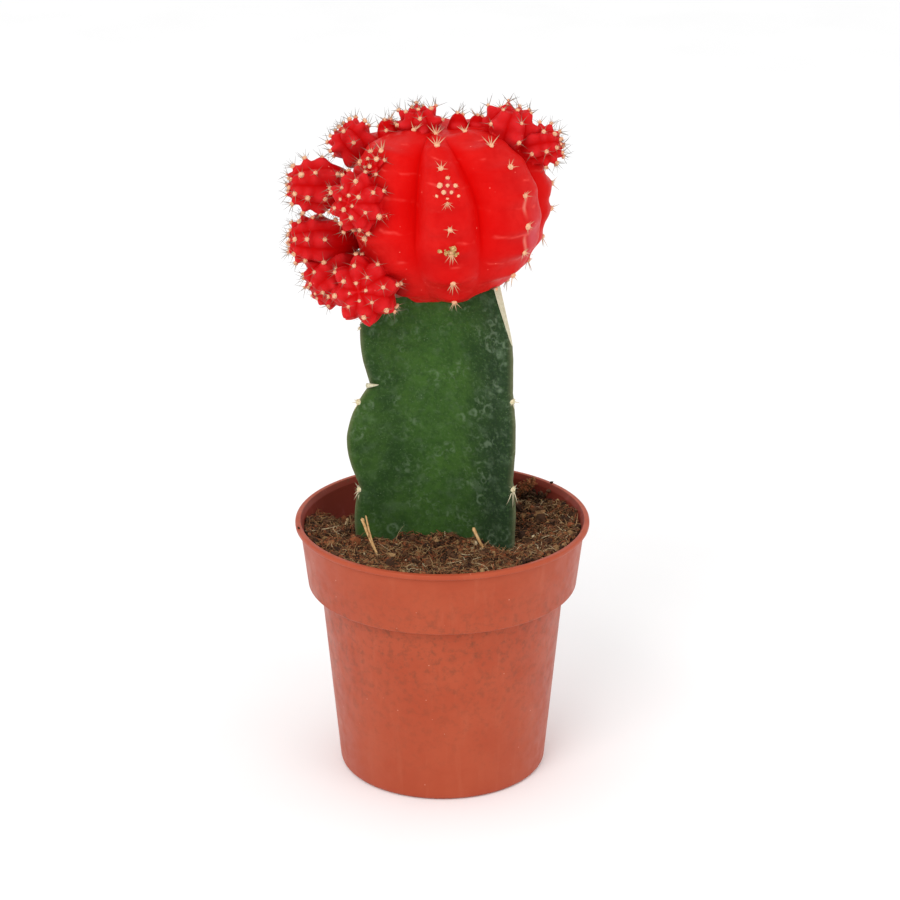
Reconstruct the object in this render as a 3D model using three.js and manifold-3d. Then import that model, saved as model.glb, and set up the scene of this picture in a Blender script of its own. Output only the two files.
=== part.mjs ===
// A potted moon cactus: a red, chlorophyll-free Gymnocalycium grafted on a three-bladed green rootstock,
// standing in potting soil in a plastic nursery pot. Millimetres, +Z up, origin at the centre of the pot's
// base, -Y towards the viewer. Four solids, one for each thing that can be taken apart: the pot, its soil,
// the rootstock with its areoles and spines, and the scion with its offsets and spines.
import * as THREE from "three";
import { mergeVertices } from "three/addons/utils/BufferGeometryUtils.js";
import Module from "manifold-3d";

const wasm = await Module();
wasm.setup();

// ---------------------------------------------------------------- driving dimensions

const GAP = 0.3; // between neighbouring solids

const POT = {
  height: 49.3,
  wall: 0.6,
  lipRadius: 27.5,
  lipWidth: 1.0, // of the rim, which is thicker than the wall
  lipHeight: 1.0,
  lipEdge: 0.35, // rounding of the lip's two edges
  collarTopRadius: 26.6,
  collarFootRadius: 25.2,
  collarFootHeight: 36.6,
  bodyTopRadius: 22.9,
  footRadius: 19.5,
  footEdge: 1.1, // rounding at the foot
  footRingWidth: 3.4, // the ring that the pot stands on
  padRadius: 5, // the centre of the base, which also touches down
  channelRise: 1.2, // how far the base between ring and pad is raised for drainage
  channelSlope: 1.2,
  sides: 44,
};
const DRAIN = { count: 6, radius: 1.9, circle: 9.8, sides: 12 };

const SOIL = {
  level: 48.1, // at the wall
  dish: 3.5, // how much lower it lies in the middle
  tilt: 0.02, // how much it falls towards the back
  clods: 0.6, // height of the clods on its surface
  sides: 36,
  rings: 9, // on the top surface
};

// Where the soil is sunk.
const HOLLOWS = [
  { at: [-19, 18], height: -6, reach: 9.5 },
  { at: [17, 20], height: -1.6, reach: 9 },
  { at: [-12.5, 0], height: -1.2, reach: 5 },
  { at: [12, -3], height: -2.2, reach: 4 },
];

// Bits of straw and wood that stand in the soil: foot in the soil, tip, and the radius at foot and tip.
const SPLINTERS = [
  { foot: [-10.6, -9.9, 43.2], tip: [-14.8, -5.2, 51.0], from: 0.22, to: 0.38 },
  { foot: [-11.6, -9.2, 44.6], tip: [-14.1, -5.4, 51.6], from: 0.2, to: 0.16 },
  { foot: [8.9, -4.6, 42.6], tip: [5.8, -3.6, 48.4], from: 0.24, to: 0.5 },
];

// The rootstock's section has three blades round a fleshy core. A blade's margin is scalloped: it swells
// below each notch and narrows again to the next one, with an areole high on each swelling.
const STEM = {
  centre: [-1, 7],
  foot: 20.5,
  top: 96.5,
  firstRing: 41.9, // the rings that shape the stem start just under the soil
  ringStep: 2.5,
  finHalfWidth: 1.5, // of a blade where its margin starts
  finDepth: 2.1, // how far the margin starts from the blade's mean reach
  finShare: 0.35, // how much of the margin's swelling the blade's flanks follow
  faceSteps: 6,
  tipSteps: 4,
};
const BLADES = [
  // bearing from the centre in degrees, then the notches from the top down: height, reach from the centre,
  // the size of the swelling below it and the height of the areole on that
  {
    bearing: 197,
    notches: [
      { z: 91.9, reach: 13.6, swell: 1.6, areole: 85.6 },
      { z: 74.4, reach: 12.9, swell: 3.6, areole: 71.2 },
      { z: 54.4, reach: 15.1, swell: 0.8, areole: 53.8 },
      { z: 41.9, reach: 15.9 },
    ],
  },
  {
    bearing: 328,
    notches: [
      { z: 91.9, reach: 16.1, swell: 0.2 },
      { z: 74.4, reach: 16.2, swell: 0.7, areole: 72.9 },
      { z: 56.9, reach: 16.5, swell: 0.7, areole: 55.6 },
      { z: 41.9, reach: 16.6 },
    ],
  },
  {
    bearing: 84,
    notches: [
      { z: 84.4, reach: 12.9, swell: 1.7, areole: 81.4 },
      { z: 64.4, reach: 13.1, swell: 1.8, areole: 61.4 },
      { z: 46.9, reach: 13.4 },
    ],
  },
];
// Where the faces between neighbouring blades bend inward, from the centre.
const FACE_BENDS = [[3.6, -2.9], [5.6, 4.4], [-5.2, 4.8]];
// The plane cuts of the graft: the top, then the trimmed edges of the blades and of the faces behind.
// Each cut: a point on it, the bearing towards which it falls, its slope in degrees.
const CUTS = [
  { at: [-2.6, 2.2, 92.4], bearing: 180, slope: 9 },
  { at: [-14.6, 2.6, 86.9], bearing: 197, slope: 45 },
  { at: [12.75, -1.55, 84], bearing: 345, slope: 72 },
  { at: [0.6, 19.2, 87.5], bearing: 84, slope: 52 },
  { at: [7.5, 11.5, 93.2], bearing: 35, slope: 40 },
  { at: [-8, 11, 91.2], bearing: 148, slope: 40 },
];

// A body of the scion is a ribbed globe round an axis, in polar form. Turns are bearings round the axis in
// degrees, from the side nearest the viewer towards the right. The mother globe sits on the graft.
const MOTHER = {
  at: [1.4, 7, 108.6],
  axis: [-0.05, -0.02, 1],
  radius: 17.8,
  crown: 14.7, // from the centre to the crown, along the axis
  root: 18.6, // from the centre to the far pole
  lean: -1.6, // how far the crown leans in X
  roundness: 0.84, // of the upper half: 1 is an ellipse, less is flatter on top with fuller shoulders
  grooves: [-20.5, 14.6, 79, 122, 172, 222, 262], // turns of the grooves between its uneven ribs
  spreads: [-2.5, 4.5, 0, 0, 0, 0, 0], // how far each groove turns aside on its way down
  crests: [0.1, -0.1, 0, 0, 0, 0, 0.3], // how far each rib's crest lies from its middle, from -1 to 1
  swells: [0, 0.01, 0, -0.07, -0.07, 0.03, 0.07], // how much larger each rib is than the globe
  lifts: [0, 0.085, 0, 0, 0, 0, 0.02], // how much shorter each rib is at its lower end
  depth: 0.16, // of the grooves, as a share of the radius
  shallow: 0.7, // the share of it that the grooves lose on the lower half
  sharpness: 2.4, // the higher, the broader the ribs and the narrower the grooves
  rounded: true, // the grooves are rounded, not sharp
  knob: 1.2, // how far a rib swells at each areole
  crownKnob: 0.4, // how much more of that there is near the crown
  knobWidth: 5, // of that swelling, in degrees
  taper: 0.02, // how much it narrows towards the root
  dimple: 1.4,
  // the polar angles of the areoles down each rib
  areoles: [
    [14, 32, 51, 74, 89, 102, 122, 144],
    [19, 40, 58, 78, 94, 109, 127, 146],
    [26, 45, 68, 87, 100, 116, 131, 147],
    [38, 56, 74, 92, 112, 132],
    [38, 56, 74, 92, 112, 132],
    [28, 50, 72, 92, 112, 132],
    [14, 43, 61, 79, 96, 115, 138, 150],
  ],
};
const MOTHER_MESH = {
  perRib: 6,
  rings: [7, 14, 22, 29, 36, 43, 50, 61, 73, 82, 92, 102, 112, 122, 132, 145, 162],
};
const OFFSET = {
  lean: 0,
  roundness: 1,
  depth: 0.16,
  shallow: 0,
  sharpness: 1.6,
  rounded: false,
  knob: 0.95,
  crownKnob: 0,
  knobWidth: 8.5,
  taper: 0.28,
  dimple: 0.35,
  spread: { first: 14, step: 28, last: 120 }, // its areoles' polar angles, half a step on for every other rib
};
// The offsets on the shoulders and the crown have fewer and taller tubercles.
const TOOTHED = { knob: 1.6, knobWidth: 12, spread: { first: 16, step: 36, last: 120 } };
// A bud is a young offset with few areoles.
const BUD = { ...OFFSET, spread: { first: 22, step: 44, last: 100 } };
// A lone tubercle of the crown, with areoles at its tip and foot.
const TUBERCLE = {
  ...OFFSET,
  depth: 0,
  knob: 0,
  taper: -0.3,
  dimple: 0,
  ribs: 3,
  spin: 0,
  spread: { first: 4, step: 70, last: 80 },
};
// The offsets: centre, axis, radius, crown, root, number of ribs and the turn of the first one.
const OFFSETS = [
  // far left
  { at: [-23.3, 4, 112.3], axis: [-1, -0.25, 0.1], radius: 4.4, crown: 4.5, root: 8.5, ribs: 7, spin: -10,
    taper: 0 },
  // left front
  { at: [-14.5, -5.2, 111.9], axis: [-0.55, -0.8, 0.2], radius: 4.8, crown: 4.1, root: 7, ribs: 8, spin: 0 },
  // left
  { at: [-23.5, 3.5, 102.1], axis: [-1, -0.2, 0.08], radius: 4.2, crown: 4.3, root: 9, ribs: 7, spin: 20,
    taper: 0 },
  // low left front
  { at: [-13.6, -4.4, 95.3], axis: [-0.3, -0.9, 0.2], radius: 5.6, crown: 4.5, root: 8, ribs: 8, spin: 15 },
  // low left
  { at: [-20.2, 1.5, 95.2], axis: [-0.8, -0.5, -0.45], radius: 4.5, crown: 4.2, root: 8.5, ribs: 7, spin: 0 },
  // left shoulder
  { at: [-16.2, 9, 119], axis: [-0.65, 0.1, 0.75], radius: 3.2, crown: 3.2, root: 7.5, ribs: 6, spin: 12,
    ...TOOTHED },
  // crown
  { at: [-4, 7.2, 122.4], axis: [-0.1, -0.1, 1], radius: 3.2, crown: 3.2, root: 5, ribs: 6, spin: 5,
    ...TOOTHED },
  // right shoulder
  { at: [11.9, 7.5, 121.5], axis: [0.25, -0.1, 1], radius: 4.1, crown: 4.3, root: 7, ribs: 6, spin: 20,
    ...TOOTHED },
  // right
  { at: [18.0, 7, 118.8], axis: [1, -0.2, 0.25], radius: 3.2, crown: 3.6, root: 8, ribs: 7, spin: 0 },
  // back
  { at: [-5.5, 23, 114], axis: [-0.3, 0.9, 0.3], radius: 4.1, crown: 4.0, root: 7, ribs: 8, spin: 0 },
  // back right
  { at: [12.5, 21, 104.5], axis: [0.55, 0.85, -0.05], radius: 4.3, crown: 4.2, root: 7, ribs: 7, spin: 18 },
  // back low left
  { at: [-10.5, 19.5, 98.8], axis: [-0.55, 0.8, -0.2], radius: 3.8, crown: 3.8, root: 7, ribs: 7, spin: 8 },
];

const BUDS = [
  // front bud
  { at: [1.0, -9.0, 115.0], axis: [0, -0.93, 0.36], radius: 1.6, crown: 1.5, root: 3, ribs: 6, spin: 0,
    knob: 0.6 },
  // small left bud
  { at: [-12.3, -4.4, 118.2], axis: [-0.5, -0.7, 0.55], radius: 1.6, crown: 1.3, root: 4, ribs: 5, spin: 0 },
];

const TUBERCLES = [
  // left of the crown's offset, then two right of it
  { at: [-9.9, 7, 121.5], axis: [-0.15, -0.15, 1], radius: 1.8, crown: 2.3, root: 4, roundness: 0.75 },
  { at: [2.8, 7.5, 122.4], axis: [0, -0.1, 1], radius: 1.9, crown: 2.5, root: 4 },
  { at: [6.2, 8.5, 122.4], axis: [0.15, -0.1, 1], radius: 1.6, crown: 1.8, root: 4 },
];

const SPINES = {
  sink: 0.7, // how deep a spine's root goes into the flesh
  radius: 0.2,
  mother: { count: 4, length: 3.0, lean: 52 },
  offset: { count: 1, length: 2.3, lean: 42 },
  stem: { count: 3, length: 2.0, lean: 48 },
};
const WOOL_RADIUS = 0.75; // the felted cushion of a rootstock areole

// ---------------------------------------------------------------- tools

const rad = THREE.MathUtils.degToRad;
const vec = (p) => new THREE.Vector3(...p);

// The turn that brings +Y to a direction.
const Y = new THREE.Vector3(0, 1, 0);
const turnTo = (direction) => new THREE.Quaternion().setFromUnitVectors(Y, direction);

// A repeatable random number in 0 to 1, from a whole number.
function random(seed) {
  const x = Math.sin(seed * 127.1 + 311.7) * 43758.5453;
  return x - Math.floor(x);
}

// A solid from a closed three.js geometry.
function solid(geometry) {
  const plain = geometry.clone();
  plain.deleteAttribute("normal");
  plain.deleteAttribute("uv");
  const merged = mergeVertices(plain, 1e-4);
  return new wasm.Manifold(
    new wasm.Mesh({
      numProp: 3,
      vertProperties: new Float32Array(merged.attributes.position.array),
      triVerts: new Uint32Array(merged.index.array),
    }),
  );
}

// A named three.js mesh from a solid.
function meshOf(name, made, colour, roughness) {
  const { numProp, numVert, vertProperties, triVerts } = made.getMesh();
  const positions = new Float32Array(numVert * 3);
  for (let i = 0; i < numVert; i++) {
    positions.set(vertProperties.subarray(i * numProp, i * numProp + 3), i * 3);
  }
  const geometry = new THREE.BufferGeometry();
  geometry.setAttribute("position", new THREE.BufferAttribute(positions, 3));
  geometry.setIndex(new THREE.BufferAttribute(triVerts, 1));
  geometry.computeVertexNormals();
  const material = new THREE.MeshStandardMaterial({ color: colour, roughness, metalness: 0 });
  const mesh = new THREE.Mesh(geometry, material);
  mesh.name = name;
  return mesh;
}

// A closed geometry from rings of points: every ring has the same number of points, and the first and last
// close on one point each.
function loft(rings, firstPole, lastPole) {
  const n = rings[0].length;
  const points = [firstPole, ...rings.flat(), lastPole];
  const last = points.length - 1;
  const faces = [];
  for (let i = 0; i < n; i++) {
    const j = (i + 1) % n;
    faces.push(0, 1 + j, 1 + i);
    for (let k = 0; k < rings.length - 1; k++) {
      const a = 1 + k * n;
      const b = a + n;
      faces.push(a + i, a + j, b + j, a + i, b + j, b + i);
    }
    faces.push(last, last - n + i, last - n + j);
  }
  const geometry = new THREE.BufferGeometry().setFromPoints(points);
  geometry.setIndex(faces);
  return geometry;
}

// Points on a quadratic curve, without its last one.
function curve(start, pull, end, steps) {
  return new THREE.QuadraticBezierCurve(start, pull, end).getPoints(steps).slice(0, -1);
}

// The main piece of a solid, without the hollows sealed inside it and without loose scraps.
function mainPiece(made) {
  return made.decompose().reduce((main, piece) => (piece.volume() > main.volume() ? piece : main));
}

// A spine: a three-sided needle from its root inside the flesh to its tip.
function spine(root, tip, radius) {
  const length = root.distanceTo(tip);
  const needle = new THREE.ConeGeometry(radius, length, 3, 1);
  needle.translate(0, length / 2, 0);
  const along = tip.clone().sub(root).normalize();
  needle.applyQuaternion(turnTo(along));
  needle.translate(...root);
  return solid(needle);
}

// The spines of one areole, spread evenly round the outward direction.
function areoleSpines(point, outward, kind, seed) {
  const side = new THREE.Vector3(0.3, 0.2, 1).cross(outward).normalize();
  const root = point.clone().addScaledVector(outward, -SPINES.sink);
  return Array.from({ length: kind.count }, (_, i) => {
    const turn = ((i + 0.7 * random(seed + i)) / kind.count) * 2 * Math.PI;
    const lean = rad(kind.lean * (0.75 + 0.5 * random(seed + 31 + i)));
    const sideways = side.clone().applyAxisAngle(outward, turn);
    const along = outward.clone().multiplyScalar(Math.cos(lean)).addScaledVector(sideways, Math.sin(lean));
    const length = SPINES.sink + kind.length * (0.8 + 0.35 * random(seed + 57 + i));
    return spine(root, root.clone().addScaledVector(along, length), SPINES.radius);
  });
}

// ---------------------------------------------------------------- pot

// The pot's section from the underside's centre, out and up to the lip, then down the inside to the floor.
function potOutside() {
  const p = POT;
  const ring = p.footRadius - p.footEdge - p.footRingWidth;
  const points = [
    [0, 0],
    [p.padRadius, 0],
    [p.padRadius + p.channelSlope, p.channelRise],
    [ring - p.channelSlope, p.channelRise],
    [ring, 0],
  ];
  for (const turn of [0, 30, 60, 90]) {
    points.push([
      p.footRadius - p.footEdge + p.footEdge * Math.sin(rad(turn)),
      p.footEdge * (1 - Math.cos(rad(turn))),
    ]);
  }
  points.push(
    [p.bodyTopRadius, p.collarFootHeight],
    [p.collarFootRadius - 0.3, p.collarFootHeight],
    [p.collarFootRadius, p.collarFootHeight + 0.3],
    [p.collarTopRadius, p.height - p.lipHeight],
    [p.lipRadius - p.lipEdge, p.height - p.lipHeight],
    [p.lipRadius, p.height - p.lipHeight + p.lipEdge],
    [p.lipRadius, p.height - p.lipEdge],
    [p.lipRadius - p.lipEdge, p.height],
  );
  return points;
}

// The pot's inside from the rim down to the floor's centre, moved inward by a clearance.
function potInside(clearance) {
  const p = POT;
  const t = p.wall + clearance;
  const ring = p.footRadius - p.footEdge - p.footRingWidth;
  return [
    [p.lipRadius - p.lipWidth - clearance, p.height],
    [p.collarTopRadius - t, p.height - p.lipHeight],
    [p.collarFootRadius - t, p.collarFootHeight + t],
    [p.bodyTopRadius - t, p.collarFootHeight + t],
    [p.footRadius + 0.1 - t, p.footEdge + t],
    [ring, t],
    [ring - p.channelSlope, p.channelRise + t],
    [p.padRadius + p.channelSlope, p.channelRise + t],
    [p.padRadius, t],
    [0, t],
  ];
}

function makePot() {
  const section = [...potOutside(), ...potInside(0)].map(([r, z]) => new THREE.Vector2(r, z));
  const turned = new THREE.LatheGeometry(section, POT.sides).rotateX(Math.PI / 2);
  let pot = solid(turned);
  for (let i = 0; i < DRAIN.count; i++) {
    const turn = ((i + 0.5) / DRAIN.count) * 2 * Math.PI;
    const drill = new THREE.CylinderGeometry(DRAIN.radius, DRAIN.radius, 8, DRAIN.sides).rotateX(Math.PI / 2);
    drill.translate(DRAIN.circle * Math.cos(turn), DRAIN.circle * Math.sin(turn), 0);
    pot = pot.subtract(solid(drill));
  }
  return pot;
}

// ---------------------------------------------------------------- rootstock

// A blade's reach from the centre at a height: the line through its notches, and the swelling beyond it.
function bladeReach({ notches }, z) {
  const above = notches.findLast((notch) => z <= notch.z) ?? notches[0];
  const below = notches[notches.indexOf(above) + 1];
  if (z >= above.z || !below) return { line: above.reach, swelling: 0 };
  const share = (above.z - z) / (above.z - below.z);
  const swelling = above.swell * Math.sin(Math.PI * share ** 0.9);
  return { line: THREE.MathUtils.lerp(above.reach, below.reach, share), swelling };
}

function bladeDirection(blade) {
  return new THREE.Vector2(Math.cos(rad(blade.bearing)), Math.sin(rad(blade.bearing)));
}

// The rootstock's outline at a height, grown outward by a clearance, counterclockwise.
function stemOutline(z, grow) {
  const centre = new THREE.Vector2(...STEM.centre);
  const fins = BLADES.map((blade) => {
    const { line, swelling } = bladeReach(blade, z);
    const out = bladeDirection(blade);
    const across = new THREE.Vector2(-out.y, out.x).multiplyScalar(STEM.finHalfWidth + grow);
    const start = line + STEM.finShare * swelling - STEM.finDepth;
    const neck = centre.clone().addScaledVector(out, start);
    const pull = centre.clone().addScaledVector(out, 2 * (line + swelling + grow) - start);
    return { before: neck.clone().sub(across), pull, after: neck.clone().add(across) };
  });
  const outline = [];
  fins.forEach((fin, i) => {
    const next = fins[(i + 1) % fins.length];
    const bend = new THREE.Vector2(...FACE_BENDS[i]);
    bend.addScaledVector(bend.clone().normalize(), grow * 1.3).add(centre);
    outline.push(...curve(fin.before, fin.pull, fin.after, STEM.tipSteps));
    outline.push(...curve(fin.after, bend, next.before, STEM.faceSteps));
  });
  return outline.map((p) => new THREE.Vector3(p.x, p.y, z));
}

// The plain stem with its cut top, grown by a clearance on every side.
function stemBody(grow) {
  const heights = [STEM.foot - grow];
  for (let z = STEM.firstRing; z < STEM.top; z += STEM.ringStep) heights.push(z);
  heights.push(STEM.top + grow);
  const centre = new THREE.Vector3(...STEM.centre, 0);
  const ends = [centre.clone().setZ(heights[0]), centre.clone().setZ(heights.at(-1))];
  let stem = solid(loft(heights.map((z) => stemOutline(z, grow)), ...ends));
  for (const cut of CUTS) {
    const block = new THREE.BoxGeometry(80, 80, 40).translate(0, 0, 20 + grow);
    block.rotateY(rad(cut.slope)).rotateZ(rad(cut.bearing)).translate(...cut.at);
    stem = stem.subtract(solid(block));
  }
  return stem;
}

// A felted cushion with its spines, on the margin of a blade.
function stemAreole(blade, z, seed) {
  const outward = new THREE.Vector3(...bladeDirection(blade), 0);
  const { line, swelling } = bladeReach(blade, z);
  const point = new THREE.Vector3(...STEM.centre, z).addScaledVector(outward, line + swelling - 0.4);
  const wool = solid(new THREE.IcosahedronGeometry(WOOL_RADIUS, 0).translate(...point));
  const rising = outward.clone().setZ(0.35).normalize();
  return [wool, ...areoleSpines(point, rising, SPINES.stem, seed)];
}

function makeStem() {
  const areoles = BLADES.flatMap((blade, b) => {
    const heights = blade.notches.flatMap((notch) => notch.areole ?? []);
    return heights.flatMap((z, k) => stemAreole(blade, z, 900 + 40 * b + 7 * k));
  });
  return wasm.Manifold.union([stemBody(0), ...areoles]);
}

// ---------------------------------------------------------------- soil

// Height of the soil's surface: a shallow dish, sunk further in places, and cloddy.
function soilHeight(r, turn) {
  const x = r * Math.cos(turn);
  const y = r * Math.sin(turn);
  const share = r / (POT.collarTopRadius - POT.wall);
  const lie = -SOIL.dish * (1 - share ** 3) - SOIL.tilt * y;
  const sunk = HOLLOWS.reduce((sum, { at, height, reach }) => {
    return sum + height * Math.exp(-((x - at[0]) ** 2 + (y - at[1]) ** 2) / reach ** 2);
  }, 0);
  const clods =
    Math.sin(0.93 * x + 1.3 * Math.sin(0.61 * y)) * Math.sin(0.87 * y + 1.1 * Math.sin(0.52 * x)) +
    0.5 * Math.sin(1.9 * x + 0.7) * Math.sin(1.7 * y + 2.1);
  return SOIL.level + lie + sunk + SOIL.clods * clods;
}

function onSoil(r, turn) {
  return new THREE.Vector3(r * Math.cos(turn), r * Math.sin(turn), soilHeight(r, turn));
}

function splinter({ foot, tip, from, to }) {
  const span = vec(tip).sub(vec(foot));
  const rod = new THREE.CylinderGeometry(to, from, span.length(), 5).translate(0, span.length() / 2, 0);
  rod.applyQuaternion(turnTo(span.normalize()));
  return solid(rod.translate(...foot));
}

function makeSoil(stem) {
  const inside = potInside(GAP).reverse(); // from the floor's centre up to the rim
  const n = SOIL.sides;
  const turns = Array.from({ length: n }, (_, i) => (i / n) * 2 * Math.PI);
  const ringAt = ([r, z]) =>
    turns.map((turn) => new THREE.Vector3(r * Math.cos(turn), r * Math.sin(turn), z));
  const rings = inside.slice(1, -2).map(ringAt);
  const [footR, footZ] = inside.at(-3);
  const [rimR, rimZ] = inside.at(-2);
  // The radius at which the surface meets the wall, where it is as high as near there.
  const edge = (turn) => footR + ((rimR - footR) * (soilHeight(rimR - 0.5, turn) - footZ)) / (rimZ - footZ);
  for (let k = 0; k < SOIL.rings; k++) {
    const reach = (turn) => edge(turn) * (1 - k / SOIL.rings);
    rings.push(turns.map((turn) => onSoil(reach(turn), turn)));
  }
  const floor = new THREE.Vector3(0, 0, inside[0][1]);
  const bed = solid(loft(rings, floor, new THREE.Vector3(0, 0, soilHeight(0, 0))));
  return mainPiece(wasm.Manifold.union([bed, ...SPLINTERS.map(splinter)]).subtract(stem));
}

// ---------------------------------------------------------------- scion

// A body of the scion: its surface in polar form, from the crown (polar angle 0) to the far pole (180).
class Globe {
  constructor(spec) {
    Object.assign(this, spec);
    if (this.ribs) this.spreadEvenly();
    this.centre = vec(this.at);
    this.up = vec(this.axis).normalize();
    this.front = new THREE.Vector3(0, -1, 0).addScaledVector(this.up, this.up.y);
    if (this.front.length() < 0.5) {
      this.front = new THREE.Vector3(0, 0, 1).addScaledVector(this.up, -this.up.z);
    }
    this.front.normalize();
    this.side = new THREE.Vector3().crossVectors(this.up, this.front);
  }

  // Gives an offset its even ribs, with their areoles.
  spreadEvenly() {
    const { first, step, last } = this.spread;
    const none = new Array(this.ribs).fill(0);
    this.spreads = none;
    this.crests = none;
    this.swells = none;
    this.lifts = none;
    this.grooves = none.map((_, i) => this.spin + ((i - 0.5) / this.ribs) * 360);
    this.areoles = none.map((_, i) => {
      const angles = [];
      for (let polar = first + ((i % 2) * step) / 2; polar <= last; polar += step) angles.push(polar);
      return angles;
    });
  }

  // The turn of a groove at a polar angle.
  grooveTurn(i, polar) {
    const turn = i < this.grooves.length ? this.grooves[i] : this.grooves[0] + 360;
    return turn + this.spreads[i % this.grooves.length] * THREE.MathUtils.clamp((polar - 55) / 25, -1, 1);
  }

  // How far the surface swells for the areoles of a rib.
  knobAt(i, polar) {
    return this.areoles[i].reduce((sum, at) => sum + Math.exp(-(((polar - at) / this.knobWidth) ** 2)), 0);
  }

  // The surface point on a rib, across it from -1 in one groove to 1 in the next.
  point(i, across, polar) {
    const start = this.grooveTurn(i, polar);
    const end = this.grooveTurn(i + 1, polar);
    const turn = rad((start + end) / 2 + (across * (end - start)) / 2);
    const s = Math.sin(rad(polar));
    const c = Math.cos(rad(polar));
    const fade = s ** 0.6;
    const offCrest = across - this.crests[i];
    const aside = Math.abs(offCrest / (1 - this.crests[i] * Math.sign(offCrest)));
    const plain = aside ** this.sharpness;
    const valley = this.rounded ? 0.5 - 0.5 * Math.cos(Math.PI * plain) : plain;
    const depth = this.depth * fade * (1 - this.shallow * THREE.MathUtils.smoothstep(polar, 75, 112));
    const swell = 1 + this.swells[i] * fade * (1 - aside ** 2);
    const taller = 1 + this.crownKnob * (1 - THREE.MathUtils.smoothstep(polar, 30, 60));
    const knob = this.knob * taller * fade * this.knobAt(i, polar) * (1 - aside) ** 1.2;
    const power = c > 0 ? this.roundness : 1;
    const broad = this.radius * (swell - depth * valley) * (1 + this.taper * Math.min(c, 0.4));
    const outward = (broad + knob) * s ** power;
    const length = c > 0 ? this.crown : this.root;
    const dimple = this.dimple * Math.exp(-((polar / 20) ** 2));
    const lift = 1 - this.lifts[i] * (1 - aside ** 2) * THREE.MathUtils.smoothstep(polar, 105, 145);
    const along = (length * swell + knob) * Math.sign(c) * Math.abs(c) ** power * lift - dimple;
    const leaning = new THREE.Vector3(this.lean * Math.max(c, 0) ** 2, 0, 0);
    return leaning
      .add(this.centre)
      .addScaledVector(this.front, outward * Math.cos(turn))
      .addScaledVector(this.side, outward * Math.sin(turn))
      .addScaledVector(this.up, along);
  }

  crest(i, polar) {
    return this.point(i, this.crests[i], polar);
  }

  outward(i, polar) {
    const across = this.crests[i];
    const east = this.point(i, across + 0.1, polar).sub(this.point(i, across - 0.1, polar));
    const south = this.crest(i, polar + 3).sub(this.crest(i, polar - 3));
    return south.cross(east).normalize();
  }

  // Whether a point lies inside, or within a margin of, the surface.
  holds(p, margin) {
    const d = p.clone().sub(this.centre);
    const along = d.dot(this.up);
    const outward = Math.sqrt(Math.max(0, d.lengthSq() - along * along));
    const length = along > 0 ? this.crown : this.root;
    return (outward / (this.radius + margin)) ** 2 + (along / (length + margin)) ** 2 < 1;
  }

  // Every areole as [rib, polar].
  areolePlaces() {
    return this.areoles.flatMap((angles, i) => angles.map((polar) => [i, polar]));
  }

  // The closed surface, with some points across each rib, at the given polar angles.
  geometry(perRib, polars) {
    const across = Array.from({ length: perRib }, (_, k) => (2 * k) / perRib - 1);
    const rib = (i, polar) => across.map((a) => this.point(i, a, polar));
    const ring = (polar) => this.grooves.flatMap((_, i) => rib(i, polar)).reverse();
    return loft(polars.map(ring), this.point(0, 0, 0), this.point(0, 0, 180));
  }
}

// Polar angles of an offset's rings, which meet every areole and every dip between two.
function offsetRings({ spread: { first, step, last } }) {
  const angles = [];
  for (let polar = first; polar <= last; polar += step / 2) angles.push(polar);
  return [...angles, (180 + angles.at(-1)) / 2];
}

function makeScion(stem) {
  const mother = new Globe(MOTHER);
  const offsets = OFFSETS.map((spec) => new Globe({ ...OFFSET, ...spec }));
  offsets.push(...BUDS.map((spec) => new Globe({ ...BUD, ...spec })));
  offsets.push(...TUBERCLES.map((spec) => new Globe({ ...TUBERCLE, ...spec })));
  const bodies = [mother, ...offsets];
  const flesh = [
    solid(mother.geometry(MOTHER_MESH.perRib, MOTHER_MESH.rings)),
    ...offsets.map((globe) => solid(globe.geometry(2, offsetRings(globe)))),
  ];
  const spines = bodies.flatMap((globe, g) =>
    globe.areolePlaces().flatMap(([i, polar], k) => {
      const point = globe.crest(i, polar);
      const buried = bodies.some((other) => other !== globe && other.holds(point, 0.6));
      if (buried || point.z < STEM.top - 5) return [];
      const kind = g === 0 ? SPINES.mother : SPINES.offset;
      return areoleSpines(point, globe.outward(i, polar), kind, 100 * g + 3 * k);
    }),
  );
  return mainPiece(wasm.Manifold.union([...flesh, ...spines]).subtract(stem));
}

// ---------------------------------------------------------------- assembly

const grownStem = stemBody(GAP);
const group = new THREE.Group();
group.add(
  meshOf("pot", makePot(), 0xc05a3e, 0.5),
  meshOf("soil", makeSoil(grownStem), 0x5d3f29, 1),
  meshOf("rootstock", makeStem(), 0x3c5c30, 0.55),
  meshOf("scion", makeScion(grownStem), 0xdd1a1c, 0.45),
);

export default group;
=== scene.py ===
"""Looks for the potted moon cactus: a red scion with offsets on a green three-bladed rootstock, in peat, in a
plastic nursery pot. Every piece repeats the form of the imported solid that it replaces, in more detail.
Sizes are in millimetres, and MM turns them into Blender's metres."""

import math
from types import SimpleNamespace

import bmesh
import bpy
import numpy as np
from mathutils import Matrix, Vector
from mathutils.kdtree import KDTree


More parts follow.
